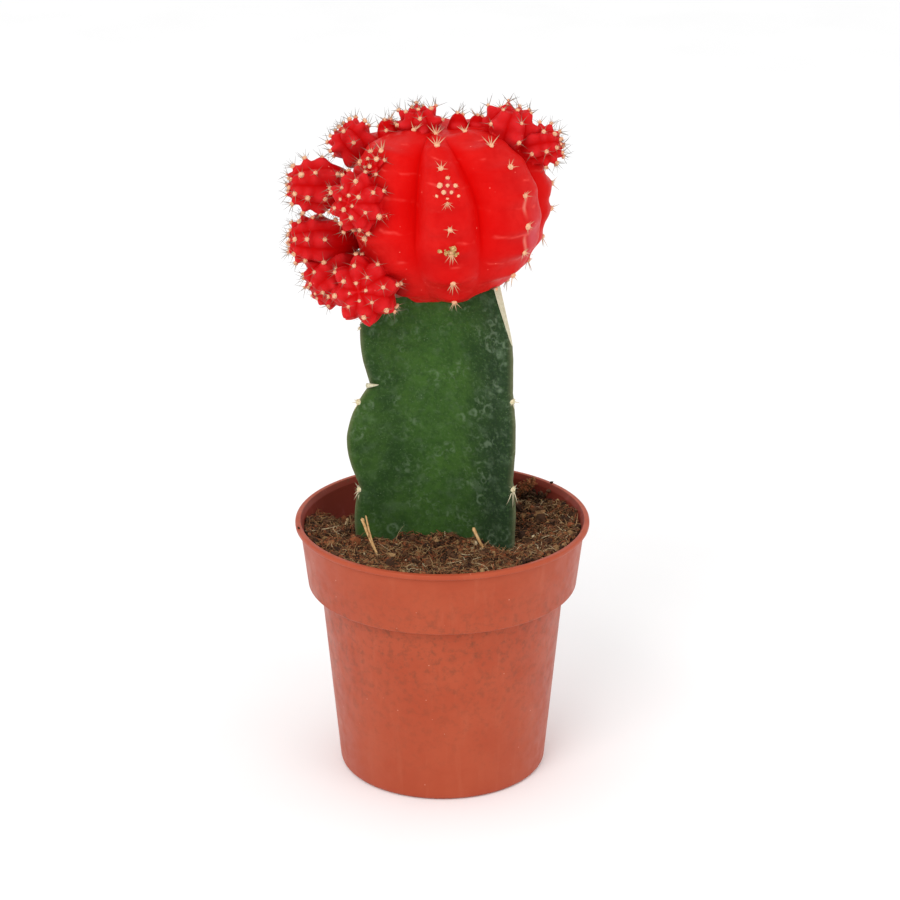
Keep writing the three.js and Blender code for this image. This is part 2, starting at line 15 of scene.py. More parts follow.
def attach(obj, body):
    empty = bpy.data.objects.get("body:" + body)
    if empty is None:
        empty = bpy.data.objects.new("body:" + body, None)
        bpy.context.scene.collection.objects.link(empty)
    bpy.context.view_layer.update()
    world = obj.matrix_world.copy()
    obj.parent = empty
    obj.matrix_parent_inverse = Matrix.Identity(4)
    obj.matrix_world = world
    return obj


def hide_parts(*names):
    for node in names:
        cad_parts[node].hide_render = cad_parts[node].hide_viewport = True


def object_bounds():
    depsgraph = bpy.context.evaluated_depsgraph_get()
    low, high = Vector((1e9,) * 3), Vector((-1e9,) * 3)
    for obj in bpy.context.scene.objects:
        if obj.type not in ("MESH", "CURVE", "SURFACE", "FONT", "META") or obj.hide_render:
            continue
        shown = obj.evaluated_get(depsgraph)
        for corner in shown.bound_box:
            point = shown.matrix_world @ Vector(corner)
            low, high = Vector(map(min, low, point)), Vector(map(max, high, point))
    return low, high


MM = 0.001
SEED = 7
rng = np.random.default_rng(SEED)

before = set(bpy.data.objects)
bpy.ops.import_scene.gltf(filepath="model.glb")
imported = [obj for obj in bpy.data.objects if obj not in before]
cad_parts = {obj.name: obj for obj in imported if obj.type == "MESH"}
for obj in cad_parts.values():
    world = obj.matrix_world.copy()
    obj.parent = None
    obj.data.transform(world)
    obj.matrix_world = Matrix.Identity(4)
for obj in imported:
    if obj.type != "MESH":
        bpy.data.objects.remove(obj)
CAD_BOX = [np.array(corner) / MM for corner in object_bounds()]

# ---- sizes, the same as in the part's source

GAP = 0.3  # between neighbouring solids

POT = SimpleNamespace(
    height=49.3, wall=0.6, lip_radius=27.5, lip_width=1.0, lip_height=1.0, lip_edge=0.42, collar_top=26.6,
    collar_foot=25.2, collar_z=36.6, body_top=22.9, foot=19.5, foot_edge=1.1, foot_ring=3.4, pad=5.0,
    rise=1.2, slope=1.2,
)
DRAIN = SimpleNamespace(count=6, radius=1.9, circle=9.8)

SOIL = SimpleNamespace(level=48.1, dish=3.5, tilt=0.02, clods=0.6)
# Where the soil is sunk: place, height and reach.
HOLLOWS = [(-19, 18, -6.0, 9.5), (17, 20, -1.6, 9), (-12.5, 0, -1.2, 5), (12, -3, -2.2, 4)]

STEM = SimpleNamespace(
    centre=(-1.0, 7.0), foot=20.5, top=96.5, first_ring=41.9, fin_half_width=1.5, fin_depth=2.1,
    fin_share=0.35,
)
HORN = 0.35  # how dry the skin is on the blades' margins
# For each blade: its bearing, then its notches from the top down as (height, reach, swelling, areole height).
BLADES = [
    (197, [(91.9, 13.6, 1.6, 85.6), (74.4, 12.9, 3.6, 71.2), (54.4, 15.1, 0.8, 53.8), (41.9, 15.9, 0, None)]),
    (328, [(91.9, 16.1, 0.2, None), (74.4, 16.2, 0.7, 72.9), (56.9, 16.5, 0.7, 55.6), (41.9, 16.6, 0, None)]),
    (84, [(84.4, 12.9, 1.7, 81.4), (64.4, 13.1, 1.8, 61.4), (46.9, 13.4, 0, None)]),
]
# The points that the faces between the blades bend towards, from the centre.
FACE_BENDS = [(3.6, -2.9), (5.6, 4.4), (-5.2, 4.8)]
# Each cut of the graft: a point on it, the bearing towards which it falls, its slope.
CUTS = [
    ((-2.6, 2.2, 92.4), 180, 9),
    ((-14.6, 2.6, 86.9), 197, 45),
    ((12.75, -1.55, 84.0), 345, 72),
    ((0.6, 19.2, 87.5), 84, 52),
    ((7.5, 11.5, 93.2), 35, 40),
    ((-8.0, 11.0, 91.2), 148, 40),
]

MOTHER = {
    "at": (1.4, 7, 108.6), "axis": (-0.05, -0.02, 1), "radius": 17.8, "crown": 14.7, "root": 18.6,
    "roundness": 0.84, "grooves": (-20.5, 14.6, 79, 122, 172, 222, 262),
    "spreads": (-2.5, 4.5, 0, 0, 0, 0, 0), "crests": (0.1, -0.1, 0, 0, 0, 0, 0.3), "lean": -1.6,
    "swells": (0, 0.01, 0, -0.07, -0.07, 0.03, 0.07), "lifts": (0, 0.085, 0, 0, 0, 0, 0.02), "depth": 0.16,
    "sharpness": 2.4, "rounded": True, "shallow": 0.7, "knob": 1.2, "crown_knob": 0.4, "knob_width": 5.0,
    "taper": 0.02, "dimple": 1.4,
    "areoles": (
        (14, 32, 51, 74, 89, 102, 122, 144),
        (19, 40, 58, 78, 94, 109, 127, 146),
        (26, 45, 68, 87, 100, 116, 131, 147),
        (38, 56, 74, 92, 112, 132),
        (38, 56, 74, 92, 112, 132),
        (28, 50, 72, 92, 112, 132),
        (14, 43, 61, 79, 96, 115, 138, 150),
    ),
}
OFFSET = {
    "roundness": 1, "depth": 0.16, "sharpness": 1.6, "rounded": False, "shallow": 0.7, "knob": 0.95,
    "crown_knob": 0, "knob_width": 8.5, "taper": 0.28, "dimple": 0.35, "lean": 0, "spread": (14, 28, 120),
}
TOOTHED = {"knob": 1.6, "knob_width": 12, "spread": (16, 36, 120)}
BUD = {**OFFSET, "spread": (22, 44, 100)}
TUBERCLE = {**OFFSET, "depth": 0, "knob": 0, "taper": -0.3, "dimple": 0, "spread": (4, 70, 80)}
# Centre, axis, radius, crown, root, number of ribs, the turn of the first one and what sets the row apart.
OFFSETS = [
    ((-23.3, 4, 112.3), (-1, -0.25, 0.1), 4.4, 4.5, 8.5, 7, -10, {"taper": 0}),
    ((-14.5, -5.2, 111.9), (-0.55, -0.8, 0.2), 4.8, 4.1, 7, 8, 0),
    ((-23.5, 3.5, 102.1), (-1, -0.2, 0.08), 4.2, 4.3, 9, 7, 20, {"taper": 0}),
    ((-13.6, -4.4, 95.3), (-0.3, -0.9, 0.2), 5.6, 4.5, 8, 8, 15),
    ((-20.2, 1.5, 95.2), (-0.8, -0.5, -0.45), 4.5, 4.2, 8.5, 7, 0),
    ((-16.2, 9, 119.0), (-0.65, 0.1, 0.75), 3.2, 3.2, 7.5, 6, 12, TOOTHED),
    ((-4, 7.2, 122.4), (-0.1, -0.1, 1), 3.2, 3.2, 5, 6, 5, TOOTHED),
    ((11.9, 7.5, 121.5), (0.25, -0.1, 1), 4.1, 4.3, 7, 6, 20, TOOTHED),
    ((18.0, 7, 118.8), (1, -0.2, 0.25), 3.2, 3.6, 8, 7, 0),
    ((-5.5, 23, 114), (-0.3, 0.9, 0.3), 4.1, 4.0, 7, 8, 0),
    ((12.5, 21, 104.5), (0.55, 0.85, -0.05), 4.3, 4.2, 7, 7, 18),
    ((-10.5, 19.5, 98.8), (-0.55, 0.8, -0.2), 3.8, 3.8, 7, 7, 8),
]
BUDS = [
    ((1.0, -9.0, 115.0), (0, -0.93, 0.36), 1.6, 1.5, 3, 6, 0, {"knob": 0.6}),
    ((-12.3, -4.4, 118.2), (-0.5, -0.7, 0.55), 1.6, 1.3, 4, 5, 0),
]
TUBERCLES = [
    ((-9.9, 7, 121.5), (-0.15, -0.15, 1), 1.8, 2.3, 4, 3, 0, {"roundness": 0.75}),
    ((2.8, 7.5, 122.4), (0, -0.1, 1), 1.9, 2.5, 4, 3, 0),
    ((6.2, 8.5, 122.4), (0.15, -0.1, 1), 1.6, 1.8, 4, 3, 0),
]

# Bits of straw that stand in the soil: foot, tip, and the radius at each.
SPLINTERS = [
    ((-10.6, -9.9, 43.2), (-14.8, -5.2, 51.0), 0.22, 0.38),
    ((-11.6, -9.2, 44.6), (-14.1, -5.4, 51.6), 0.2, 0.16),
    ((8.9, -4.6, 42.6), (5.8, -3.6, 48.4), 0.24, 0.5),
]

# ---- numbers and noise


def unit(v):
    v = np.asarray(v, float)
    return v / np.linalg.norm(v, axis=-1, keepdims=True)


def lattice(cells, seed):
    """A repeatable random number in -1 to 1 for each whole-numbered cell."""
    n = cells[:, 0] * 374761393 + cells[:, 1] * 668265263 + cells[:, 2] * 1442695041 + seed * 1013904223
    n = (n ^ (n >> 13)) * 1274126177
    n = n ^ (n >> 16)
    return (n & 0xFFFFFF) / 0x7FFFFF - 1


def eased(amount, share):
    """An amount times a share that is held between 0 and 1 and eased at both ends."""
    t = np.clip(share, 0, 1)
    return amount * t * t * (3 - 2 * t)


def noise(points, size, seed=0):
    """Smooth noise in -1 to 1 at some points, with features of about a size."""
    q = np.asarray(points, float) / size
    cell = np.floor(q).astype(np.int64)
    w = eased(1, q - cell)
    total = np.zeros(len(q))
    for corner in np.ndindex(2, 2, 2):
        c = np.array(corner)
        total += np.prod(np.where(c, w, 1 - w), axis=1) * lattice(cell + c, seed)
    return total


def basis(normals):
    """Two directions at right angles to each normal."""
    helper = np.where(np.abs(normals[..., 2:]) < 0.9, np.array([0.0, 0, 1]), np.array([1.0, 0, 0]))
    a = unit(np.cross(helper, normals))
    return a, np.cross(normals, a)


def circle(count):
    return np.arange(count) / count * 2 * np.pi


# ---- meshes


def mesh_object(name, points, faces, looks=(), attributes=None, smooth=True):
    """A new mesh object from points in millimetres."""
    mesh = bpy.data.meshes.new(name)
    places = (np.asarray(points).reshape(-1, 3) * MM).tolist()
    mesh.from_pydata(places, [], [tuple(map(int, face)) for face in faces])
    for look in looks:
        mesh.materials.append(LOOKS[look])
    if smooth:
        mesh.shade_smooth()
    obj = bpy.data.objects.new(name, mesh)
    bpy.context.scene.collection.objects.link(obj)
    for key, values in (attributes or {}).items():
        set_attribute(obj, key, values)
    return obj


def paint(obj, look):
    """Gives every face the same look."""
    obj.data.materials.clear()
    obj.data.materials.append(LOOKS[look])
    obj.data.polygons.foreach_set("material_index", np.zeros(len(obj.data.polygons), np.int32))


def set_attribute(obj, key, values):
    layer = obj.data.attributes.new(key, "FLOAT", "POINT")
    layer.data.foreach_set("value", np.asarray(values, np.float32))


def points_of(obj):
    co = np.empty(len(obj.data.vertices) * 3)
    obj.data.vertices.foreach_get("co", co)
    return co.reshape(-1, 3) / MM


def grid_faces(rows, columns, first=0):
    """Quads between rows of points, where each row closes on itself."""
    faces = []
    for r in range(rows - 1):
        a = first + r * columns
        b = a + columns
        for c in range(columns):
            d = (c + 1) % columns
            faces.append((a + c, a + d, b + d, b + c))
    return faces


def repeated(template, per, count):
    """The faces of a number of copies that have so many points each."""
    return [tuple(i + n * per for i in face) for n in range(count) for face in template]


def tubes(centres, a, b, width, sides, flat=(1, 1)):
    """Rings of points round the centres of rods, along the directions a and b."""
    turn = circle(sides)[:, None]
    ring = a[..., None, :] * np.cos(turn) * flat[0] + b[..., None, :] * np.sin(turn) * flat[1]
    return centres[..., None, :] + ring * width[..., None]


def turned(local, a, b, c, at):
    """Points of some copies, each turned to its own directions and moved to its place."""
    x, y, z = np.split(local, 3, axis=-1)
    return at[:, None] + (x * a[:, None] + y * b[:, None] + z * c[:, None])


def loft(rings, first_pole, last_pole):
    """Points and faces of a closed body from rings of points and a point at each end."""
    columns = len(rings[0])
    points = [first_pole, *[p for ring in rings for p in ring], last_pole]
    last = len(points) - 1
    faces = [(0, 1 + (c + 1) % columns, 1 + c) for c in range(columns)]
    faces += grid_faces(len(rings), columns, 1)
    start = last - columns
    faces += [(last, start + c, start + (c + 1) % columns) for c in range(columns)]
    return np.array(points), faces


def shade_smooth(obj, sharp_degrees):
    """Smooth shading, but for edges that turn by more than an angle."""
    obj.data.shade_smooth()
    obj.data.set_sharp_from_angle(angle=math.radians(sharp_degrees))


def outward_faces(obj):
    bm = bmesh.new()
    bm.from_mesh(obj.data)
    bmesh.ops.recalc_face_normals(bm, faces=bm.faces)
    bm.to_mesh(obj.data)
    bm.free()


def combine(obj, others, operation):
    """Unites other bodies with an object or cuts them from it, and removes them."""
    group = bpy.data.collections.new("operands")
    bpy.context.scene.collection.children.link(group)
    for other in others:
        group.objects.link(other)
    modifier = obj.modifiers.new("combine", "BOOLEAN")
    modifier.operation = operation
    modifier.operand_type = "COLLECTION"
    modifier.collection = group
    modifier.solver = "MANIFOLD"
    made = bpy.data.meshes.new_from_object(obj.evaluated_get(bpy.context.evaluated_depsgraph_get()))
    obj.modifiers.clear()
    old = obj.data
    obj.data = made
    bpy.data.meshes.remove(old)
    for other in others:
        mesh = other.data
        bpy.data.objects.remove(other)
        bpy.data.meshes.remove(mesh)
    bpy.data.collections.remove(group)


def finish_piece(obj, node, replaces=False):
    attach(obj, "root")
    if replaces:
        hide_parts(node)
    return obj


# ---- materials


def srgb(r, g, b):
    """A linear colour from 8-bit screen values."""
    c = np.array([r, g, b]) / 255
    linear = np.where(c <= 0.04045, c / 12.92, ((c + 0.055) / 1.055) ** 2.4)
    return (*linear.tolist(), 1.0)


class Look:
    """A node material, with short calls for the nodes that the looks share. Colours are screen values."""

    def __init__(self, name, roughness, **sockets):
        self.material = bpy.data.materials.new(name)
        self.material.use_nodes = True
        self.tree = self.material.node_tree
        self.shader = self.tree.nodes["Principled BSDF"]
        self.shader.inputs["Roughness"].default_value = roughness
        for key, value in sockets.items():
            self.shader.inputs[key.replace("_", " ")].default_value = value
        self.place = self.node("ShaderNodeTexCoord").outputs["Object"]

    def node(self, kind, **settings):
        made = self.tree.nodes.new(kind)
        for key, value in settings.items():
            setattr(made, key, value)
        return made

    def fill(self, socket, value):
        """Sets a socket to a number or a colour, or links it to another socket."""
        if isinstance(value, tuple):
            socket.default_value = srgb(*value)
        elif isinstance(value, (int, float)):
            socket.default_value = value
        else:
            self.tree.links.new(value, socket)

    def attribute(self, name, times=None):
        """A mesh attribute, or its product with a number or a socket."""
        found = self.node("ShaderNodeAttribute", attribute_name=name).outputs["Fac"]
        return found if times is None else self.times(found, times)

    def stretched(self, *scale):
        """Object coordinates scaled along X, Y and Z."""
        mapping = self.node("ShaderNodeMapping")
        self.fill(mapping.inputs["Vector"], self.place)
        mapping.inputs["Scale"].default_value = scale
        return mapping.outputs["Vector"]

    def noise(self, size_mm, detail=3.0, rough=0.5, place=None):
        made = self.node("ShaderNodeTexNoise")
        self.fill(made.inputs["Scale"], 1 / (size_mm * MM))
        self.fill(made.inputs["Detail"], detail)
        self.fill(made.inputs["Roughness"], rough)
        self.fill(made.inputs["Vector"], place or self.place)
        return made.outputs["Fac"]

    def cells(self, size_mm):
        """The distance to the nearest of some scattered points."""
        made = self.node("ShaderNodeTexVoronoi")
        self.fill(made.inputs["Scale"], 1 / (size_mm * MM))
        self.fill(made.inputs["Vector"], self.place)
        return made.outputs["Distance"]

    def ramp(self, value, *stops):
        """Maps a value smoothly through stops, each a position and a number or colour."""
        made = self.node("ShaderNodeValToRGB")
        made.color_ramp.interpolation = "EASE"
        elements = made.color_ramp.elements
        while len(elements) < len(stops):
            elements.new(0.5)
        for element, (position, shade) in zip(elements, stops):
            element.position = position
            element.color = srgb(*shade) if isinstance(shade, tuple) else (shade, shade, shade, 1)
        self.fill(made.inputs["Fac"], value)
        return made.outputs["Color"]

    def patches(self, low, high, share, *noise):
        """Noise of which what is under low is 0 and what is over high is a share."""
        return self.ramp(self.noise(*noise), (low, 0), (high, share))

    def math(self, operation, a, b):
        made = self.node("ShaderNodeMath", operation=operation)
        self.fill(made.inputs[0], a)
        self.fill(made.inputs[1], b)
        return made.outputs["Value"]

    def times(self, a, b):
        return self.math("MULTIPLY", a, b)

    def mix(self, share, a, b):
        """Mixes two colours."""
        made = self.node("ShaderNodeMix", data_type="RGBA")
        for number, value in ((0, share), (6, a), (7, b)):
            self.fill(made.inputs[number], value)
        return made.outputs[2]

    def tint(self, share, colour):
        """Mixes a share of a colour into the base colour."""
        self.base = self.mix(share, self.base, colour)

    def roughness(self, smooth, rough, *noise):
        """Roughness between two (position, number) stops of noise."""
        self.fill(self.shader.inputs["Roughness"], self.ramp(self.noise(*noise), smooth, rough))

    def bump(self, height, depth_mm, strength, under=None):
        made = self.node("ShaderNodeBump")
        self.fill(made.inputs["Strength"], strength)
        self.fill(made.inputs["Distance"], depth_mm * MM)
        self.fill(made.inputs["Height"], height)
        if under:
            self.fill(made.inputs["Normal"], under)
        self.fill(self.shader.inputs["Normal"], made.outputs["Normal"])
        return made.outputs["Normal"]

    def finish(self):
        self.fill(self.shader.inputs["Base Color"], self.base)
        return self.material


def pot_look():
    look = Look("pot_plastic", 0.42, Specular_IOR_Level=0.3, Specular_Tint=(1, 0.6, 0.45, 1))
    look.base = look.mix(look.patches(0.3, 0.7, 1, 9, 4, 0.6), (164, 69, 44), (170, 76, 50))
    look.tint(look.patches(0.52, 0.72, 0.3, 2.2, 3, 0.6, look.stretched(1, 1, 0.12)), (178, 90, 64))
    look.tint(look.ramp(look.cells(2.6), (0.0, 0.8), (0.06, 0.0)), (226, 176, 152))
    # Painted shade, broken into patches, on the step under the collar where shadow falls.
    look.tint(look.attribute("ledge", look.patches(0.45, 0.7, 0.7, 1.3, 5, 0.7)), (112, 62, 44))
    # The inner wall's own colour, with painted shade that darkens its upper part towards the rim.
    inner = look.mix(look.attribute("height"), (152, 69, 61), (140, 58, 46))
    scuffs = look.patches(0.58, 0.74, 0.4, 2.5, 4, 0.6, look.stretched(1, 1, 0.4))
    look.tint(look.attribute("inside"), look.mix(scuffs, inner, (170, 92, 84)))
    look.tint(look.attribute("rim", look.patches(0.5, 0.66, 0.6, 0.9, 4, 0.7)), (104, 72, 54))
    look.roughness((0.3, 0.38), (0.75, 0.54), 3.0, 4, 0.6)
    fine = look.bump(look.noise(0.35, 2), 0.02, 0.3)
    look.bump(look.noise(5, 2), 0.2, 0.2, fine)
    return look.finish()


def soil_look():
    look = Look("peat", 0.95, Specular_IOR_Level=0.2)
    look.base = look.ramp(
        look.attribute("tone"),
        (0.0, (52, 34, 24)),
        (0.27, (100, 68, 46)),
        (0.45, (154, 88, 54)),
        (0.6, (150, 114, 74)),
        (0.8, (178, 142, 98)),
        (1.0, (216, 196, 158)),
    )
    look.tint(look.patches(0.35, 0.7, 0.4, 0.35, 5, 0.7), (70, 46, 30))
    look.bump(look.noise(0.25, 5, 0.7), 0.2, 0.8)
    return look.finish()


def straw_look():
    look = Look("straw", 0.6)
    grain = look.noise(0.5, 4, 0.6, look.stretched(1, 1, 0.15))
    look.base = look.ramp(grain, (0.3, (150, 104, 58)), (0.5, (203, 158, 100)), (0.75, (228, 196, 146)))
    look.bump(grain, 0.12, 0.8)
    return look.finish()


def ring_marks(look, size, inner, middle, outer, share):
    """Pale broken rings, as drops leave when they dry."""
    edge = look.ramp(look.cells(size), (inner, 0.0), (middle, 1.0), (outer, 0.0))
    broken = look.patches(0.4, 0.62, share, 1.2, 3, 0.5)
    where = look.ramp(look.noise(4.5, 2), (0.46, 0.08), (0.6, 1))
    return look.times(look.times(edge, broken), where)


def stem_look():
    look = Look("stem_skin", 0.42, IOR=1.15, Specular_IOR_Level=0.25, Specular_Tint=(0.8, 1, 0.6, 1),
                Subsurface_Weight=0.12, Subsurface_Radius=(0.0006, 0.001, 0.0003))
    shade = look.attribute("shade")
    look.base = look.mix(look.patches(0.32, 0.68, 1, 7, 4, 0.6), (40, 64, 31), (58, 86, 38))
    look.tint(look.attribute("middle", 0.75), (68, 104, 42))
    look.tint(look.patches(0.4, 0.68, 0.45, 1.1, 5, 0.65), (36, 56, 31))
    look.tint(look.times(shade, 0.8), (38, 54, 37))
    look.tint(look.patches(0.5, 0.68, 0.35, 0.5, 5, 0.7), (86, 114, 70))
    bloom = look.patches(0.5, 0.7, 0.4, 2.6, 4, 0.6)
    look.tint(look.times(bloom, look.ramp(shade, (0.0, 0.5), (0.5, 1.0))), (92, 112, 86))
    marks = look.math("MAXIMUM", ring_marks(look, 2.6, 0.22, 0.36, 0.52, 0.36),
                      ring_marks(look, 1.5, 0.2, 0.34, 0.5, 0.24))
    marks = look.times(marks, look.ramp(shade, (0.0, 0.7), (0.5, 1.0)))
    look.tint(marks, (134, 154, 126))
    specks = look.ramp(look.cells(0.7), (0.06, 0.6), (0.2, 0.0))
    look.tint(look.times(specks, look.patches(0.5, 0.66, 0.8, 2.2, 2)), (120, 144, 106))
    look.tint(look.attribute("horn"), (158, 152, 118))
    look.roughness((0.3, 0.34), (0.7, 0.52), 1.5, 3)
    bumps = look.bump(look.noise(0.5, 4, 0.6), 0.06, 0.5)
    look.bump(marks, 0.06, 0.5, bumps)
    return look.finish()


def cut_look():
    look = Look("cut_tissue", 0.8)
    dry = look.noise(0.5, 5, 0.7)
    look.base = look.ramp(dry, (0.3, (172, 164, 128)), (0.5, (206, 200, 170)), (0.75, (226, 222, 198)))
    look.tint(look.patches(0.55, 0.72, 0.5, 0.8, 3, 0.6, look.stretched(1, 1, 0.2)), (148, 142, 100))
    look.bump(dry, 0.2, 0.9)
    return look.finish()


def flesh_look():
    look = Look("scion_skin", 0.42, IOR=1.12, Specular_IOR_Level=0.8, Specular_Tint=(1, 0.2, 0.16, 1),
                Subsurface_Weight=0.3, Subsurface_Radius=(0.0022, 0.0004, 0.0003))
    look.base = look.mix(look.patches(0.3, 0.7, 1, 6, 3, 0.5), (198, 19, 18), (206, 30, 27))
    look.tint(look.attribute("young"), (214, 48, 54))
    look.tint(look.patches(0.42, 0.66, 0.35, 1.3, 5, 0.6), (190, 10, 12))
    # Painted light and shade in the grooves: on the mother a more saturated red, lighter than the ribs to
    # offset the rendered shade; on offsets a darker red, painted shade between the tubercles.
    look.tint(look.attribute("painted_groove_shading"), look.mix(look.attribute("young"), (211, 4, 3), (168, 6, 10)))
    # Painted shade: a thin dark line along the bottom of each groove.
    look.tint(look.attribute("groove_line_shade", 0.8), (184, 0, 0))
    # Painted shade on the mother beside the offsets, and on each offset towards its root.
    look.tint(look.attribute("hollow_shade", 0.7), (164, 3, 6))
    # A pale pinkish patch beside the vein on the right ribs: painted sheen on dull skin.
    look.tint(look.attribute("sheen_and_dull"), (200, 80, 88))
    look.tint(look.attribute("wrinkle", look.patches(0.5, 0.62, 0.7, 4, 2)), (232, 78, 70))
    look.tint(look.attribute("vein", 0.8), (226, 130, 112))
    freckles = look.ramp(look.cells(1.7), (0.05, 0.7), (0.1, 0.0))
    look.tint(look.times(freckles, look.patches(0.5, 0.6, 1, 5, 2)), (238, 130, 116))
    look.roughness((0.3, 0.38), (0.7, 0.54), 1.2, 4, 0.6)
    skin = look.bump(look.noise(0.3, 3, 0.6), 0.03, 0.5)
    look.bump(look.noise(1.6, 3, 0.5), 0.1, 0.35, skin)
    return look.finish()


def wool_look(name, *tones):
    look = Look(name, 0.95, Subsurface_Weight=0.2, Subsurface_Radius=(0.0006, 0.0003, 0.0002))
    fuzz = look.noise(0.22, 4, 0.7)
    look.base = look.ramp(fuzz, *zip((0.3, 0.55, 0.8), tones))
    look.bump(fuzz, 0.12, 0.9)
    return look.finish()


def spine_look(name, root, middle, tip):
    """Pale spines, or where the grey attribute says so, grey ones with a pale foot."""
    look = Look(name, 0.5, Specular_IOR_Level=0.3)
    along = look.attribute("along")
    pale = look.ramp(along, (0.0, root), (0.45, middle), (1.0, tip))
    dark = look.ramp(along, (0.0, (226, 178, 136)), (0.25, (140, 120, 102)), (0.7, (62, 58, 54)))
    look.base = look.mix(look.attribute("grey"), pale, dark)
    return look.finish()


def scar_look():
    look = Look("dried_flower", 0.9)
    dry = look.noise(0.4, 4, 0.7)
    look.base = look.ramp(dry, (0.3, (120, 88, 36)), (0.5, (186, 146, 84)), (0.66, (246, 218, 168)))
    look.bump(dry, 0.15, 0.9)
    return look.finish()


def floor_look():
    look = Look("floor", 0.9, Specular_IOR_Level=0.1)
    look.base = look.ramp(look.noise(60, 2), (0.2, (250, 250, 250)), (0.8, (254, 254, 254)))
    return look.finish()


LOOKS = {
    "pot": pot_look(),
    "soil": soil_look(),
    "straw": straw_look(),
    "stem": stem_look(),
    "cut": cut_look(),
    "flesh": flesh_look(),
    "wool": wool_look("areole_wool", (206, 136, 102), (238, 184, 144), (252, 216, 180)),
    "cream": wool_look("stem_wool", (176, 158, 112), (226, 214, 178), (246, 240, 216)),
    "spine": spine_look("spine", (238, 196, 152), (222, 182, 142), (158, 120, 96)),
    "cream_spine": spine_look("stem_spine", (238, 228, 196), (230, 218, 184), (176, 160, 124)),
    "scar": scar_look(),
    "floor": floor_look(),
}

# ---- pot


def curve(start, pull, end, shares):
    """Points at shares of the way along a curve that bends towards a point."""
    t = shares[:, None]
    return (1 - t) ** 2 * start + 2 * t * (1 - t) * pull + t * t * end


def rounded(points, radii, steps=5):
    """A polyline of (r, z) points with its corners rounded by the given radii."""
    pts = [np.array(p, float) for p in points]
    out = [pts[0]]
    for before, corner, after, radius in zip(pts, pts[1:], pts[2:], radii):
        if radius <= 0:
            out.append(corner)
            continue
        a, b = unit(before - corner), unit(after - corner)
        half = math.acos(float(np.clip(a @ b, -1, 1))) / 2
        shorter = min(np.linalg.norm(before - corner), np.linalg.norm(after - corner))
        reach = min(radius / math.tan(half), 0.49 * shorter)
        out.extend(curve(corner + a * reach, corner, corner + b * reach, np.linspace(0, 1, steps)))
    out.append(pts[-1])
    return out


def pot_inside(clearance):
    t = POT.wall + clearance
    ring = POT.foot - POT.foot_edge - POT.foot_ring
    return [
        (POT.lip_radius - POT.lip_width - clearance, POT.height),
        (POT.collar_top - t, POT.height - POT.lip_height),
        (POT.collar_foot - t, POT.collar_z + t),
        (POT.body_top - t, POT.collar_z + t),
        (POT.foot + 0.1 - t, POT.foot_edge + t),
        (ring, t),
        (ring - POT.slope, POT.rise + t),
        (POT.pad + POT.slope, POT.rise + t),
        (POT.pad, t),
        (0, t),
    ]


def make_drill(turn):
    around = circle(40)
    x, y = DRAIN.circle * np.cos(turn), DRAIN.circle * np.sin(turn)
    edge = np.column_stack([x + DRAIN.radius * np.cos(around), y + DRAIN.radius * np.sin(around), 0 * around])
    rings = [edge + (0, 0, z) for z in (-1.0, 4.0)]
    drill = mesh_object("drill", *loft(rings, (x, y, -1.0), (x, y, 4.0)))
    outward_faces(drill)
    return drill


def pot_section():
    """The pot's rounded (r, z) outline, from the middle of its underside to the middle of its inside."""
    ring = POT.foot - POT.foot_edge - POT.foot_ring
    under_lip = POT.height - POT.lip_height
    outside = [
        (0, 0),
        (POT.pad, 0),
        (POT.pad + POT.slope, POT.rise),
        (ring - POT.slope, POT.rise),
        (ring, 0),
        (POT.foot, 0),
        (POT.body_top, POT.collar_z),
        (POT.collar_foot, POT.collar_z),
        (POT.collar_top, under_lip - 0.1),
        (POT.collar_top + 0.1, under_lip),
        (POT.lip_radius, under_lip),
        (POT.lip_radius, POT.height),
    ]
    outer = [0.3, 0.4, 0.4, 0.3, POT.foot_edge, 0.5, 0.45, 0.12, 0.0, POT.lip_edge, POT.lip_edge]
    inner = [0.2, 0.3, 0.4, 0.4, 0.8, 0.3, 0.4, 0.4, 0.3]
    return rounded([*outside, *pot_inside(0)], [*outer, *inner])


def shade_pot(pot):
    """What the look needs at each point: the inside, its height for the painted shade on the upper inner
    wall, the rim, and the ledge under the collar for its painted shade.
    """
    co = points_of(pot)
    r, z = np.hypot(co[:, 0], co[:, 1]), co[:, 2]
    rim, collar, ledge, body, foot = [point[0] for point in pot_inside(0)[:5]]
    base, step = POT.foot_edge + POT.wall, POT.collar_z + POT.wall
    heights = [0, base, step, step, POT.height - POT.lip_height, POT.height]
    wall = np.interp(z, heights, [0, foot, body, ledge, collar, rim - 0.1])
    set_attribute(pot, "inside", (r < wall + 0.15) & (z > 2.5))
    # Painted shade: 0 low on the inner wall, rising to 1 towards the rim, where the wall is darkened.
    set_attribute(pot, "height", np.clip((z - 40) / 6, 0, 1))
    set_attribute(pot, "rim", np.clip((z - POT.height + 0.8) / 0.5, 0, 1) * np.clip((27.2 - r) / 0.8, 0, 1))
    # Where the painted shade under the collar's step lies.
    set_attribute(pot, "ledge", np.exp(-((z - POT.collar_z + 0.3) / 1.2) ** 2))


def make_pot():
    section = pot_section()
    turns = circle(224)
    rows = [np.column_stack([r * np.cos(turns), r * np.sin(turns), 0 * turns + z]) for r, z in section[1:-1]]
    points, faces = loft(rows, (0, 0, section[0][1]), (0, 0, section[-1][1]))
    pot = mesh_object("pot_shell", points, faces, ["pot"])
    outward_faces(pot)
    combine(pot, [make_drill(turn) for turn in circle(DRAIN.count) + np.pi / DRAIN.count], "DIFFERENCE")
    shade_pot(pot)
    shade_smooth(pot, 38)
    return finish_piece(pot, "pot", replaces=True)


# ---- rootstock


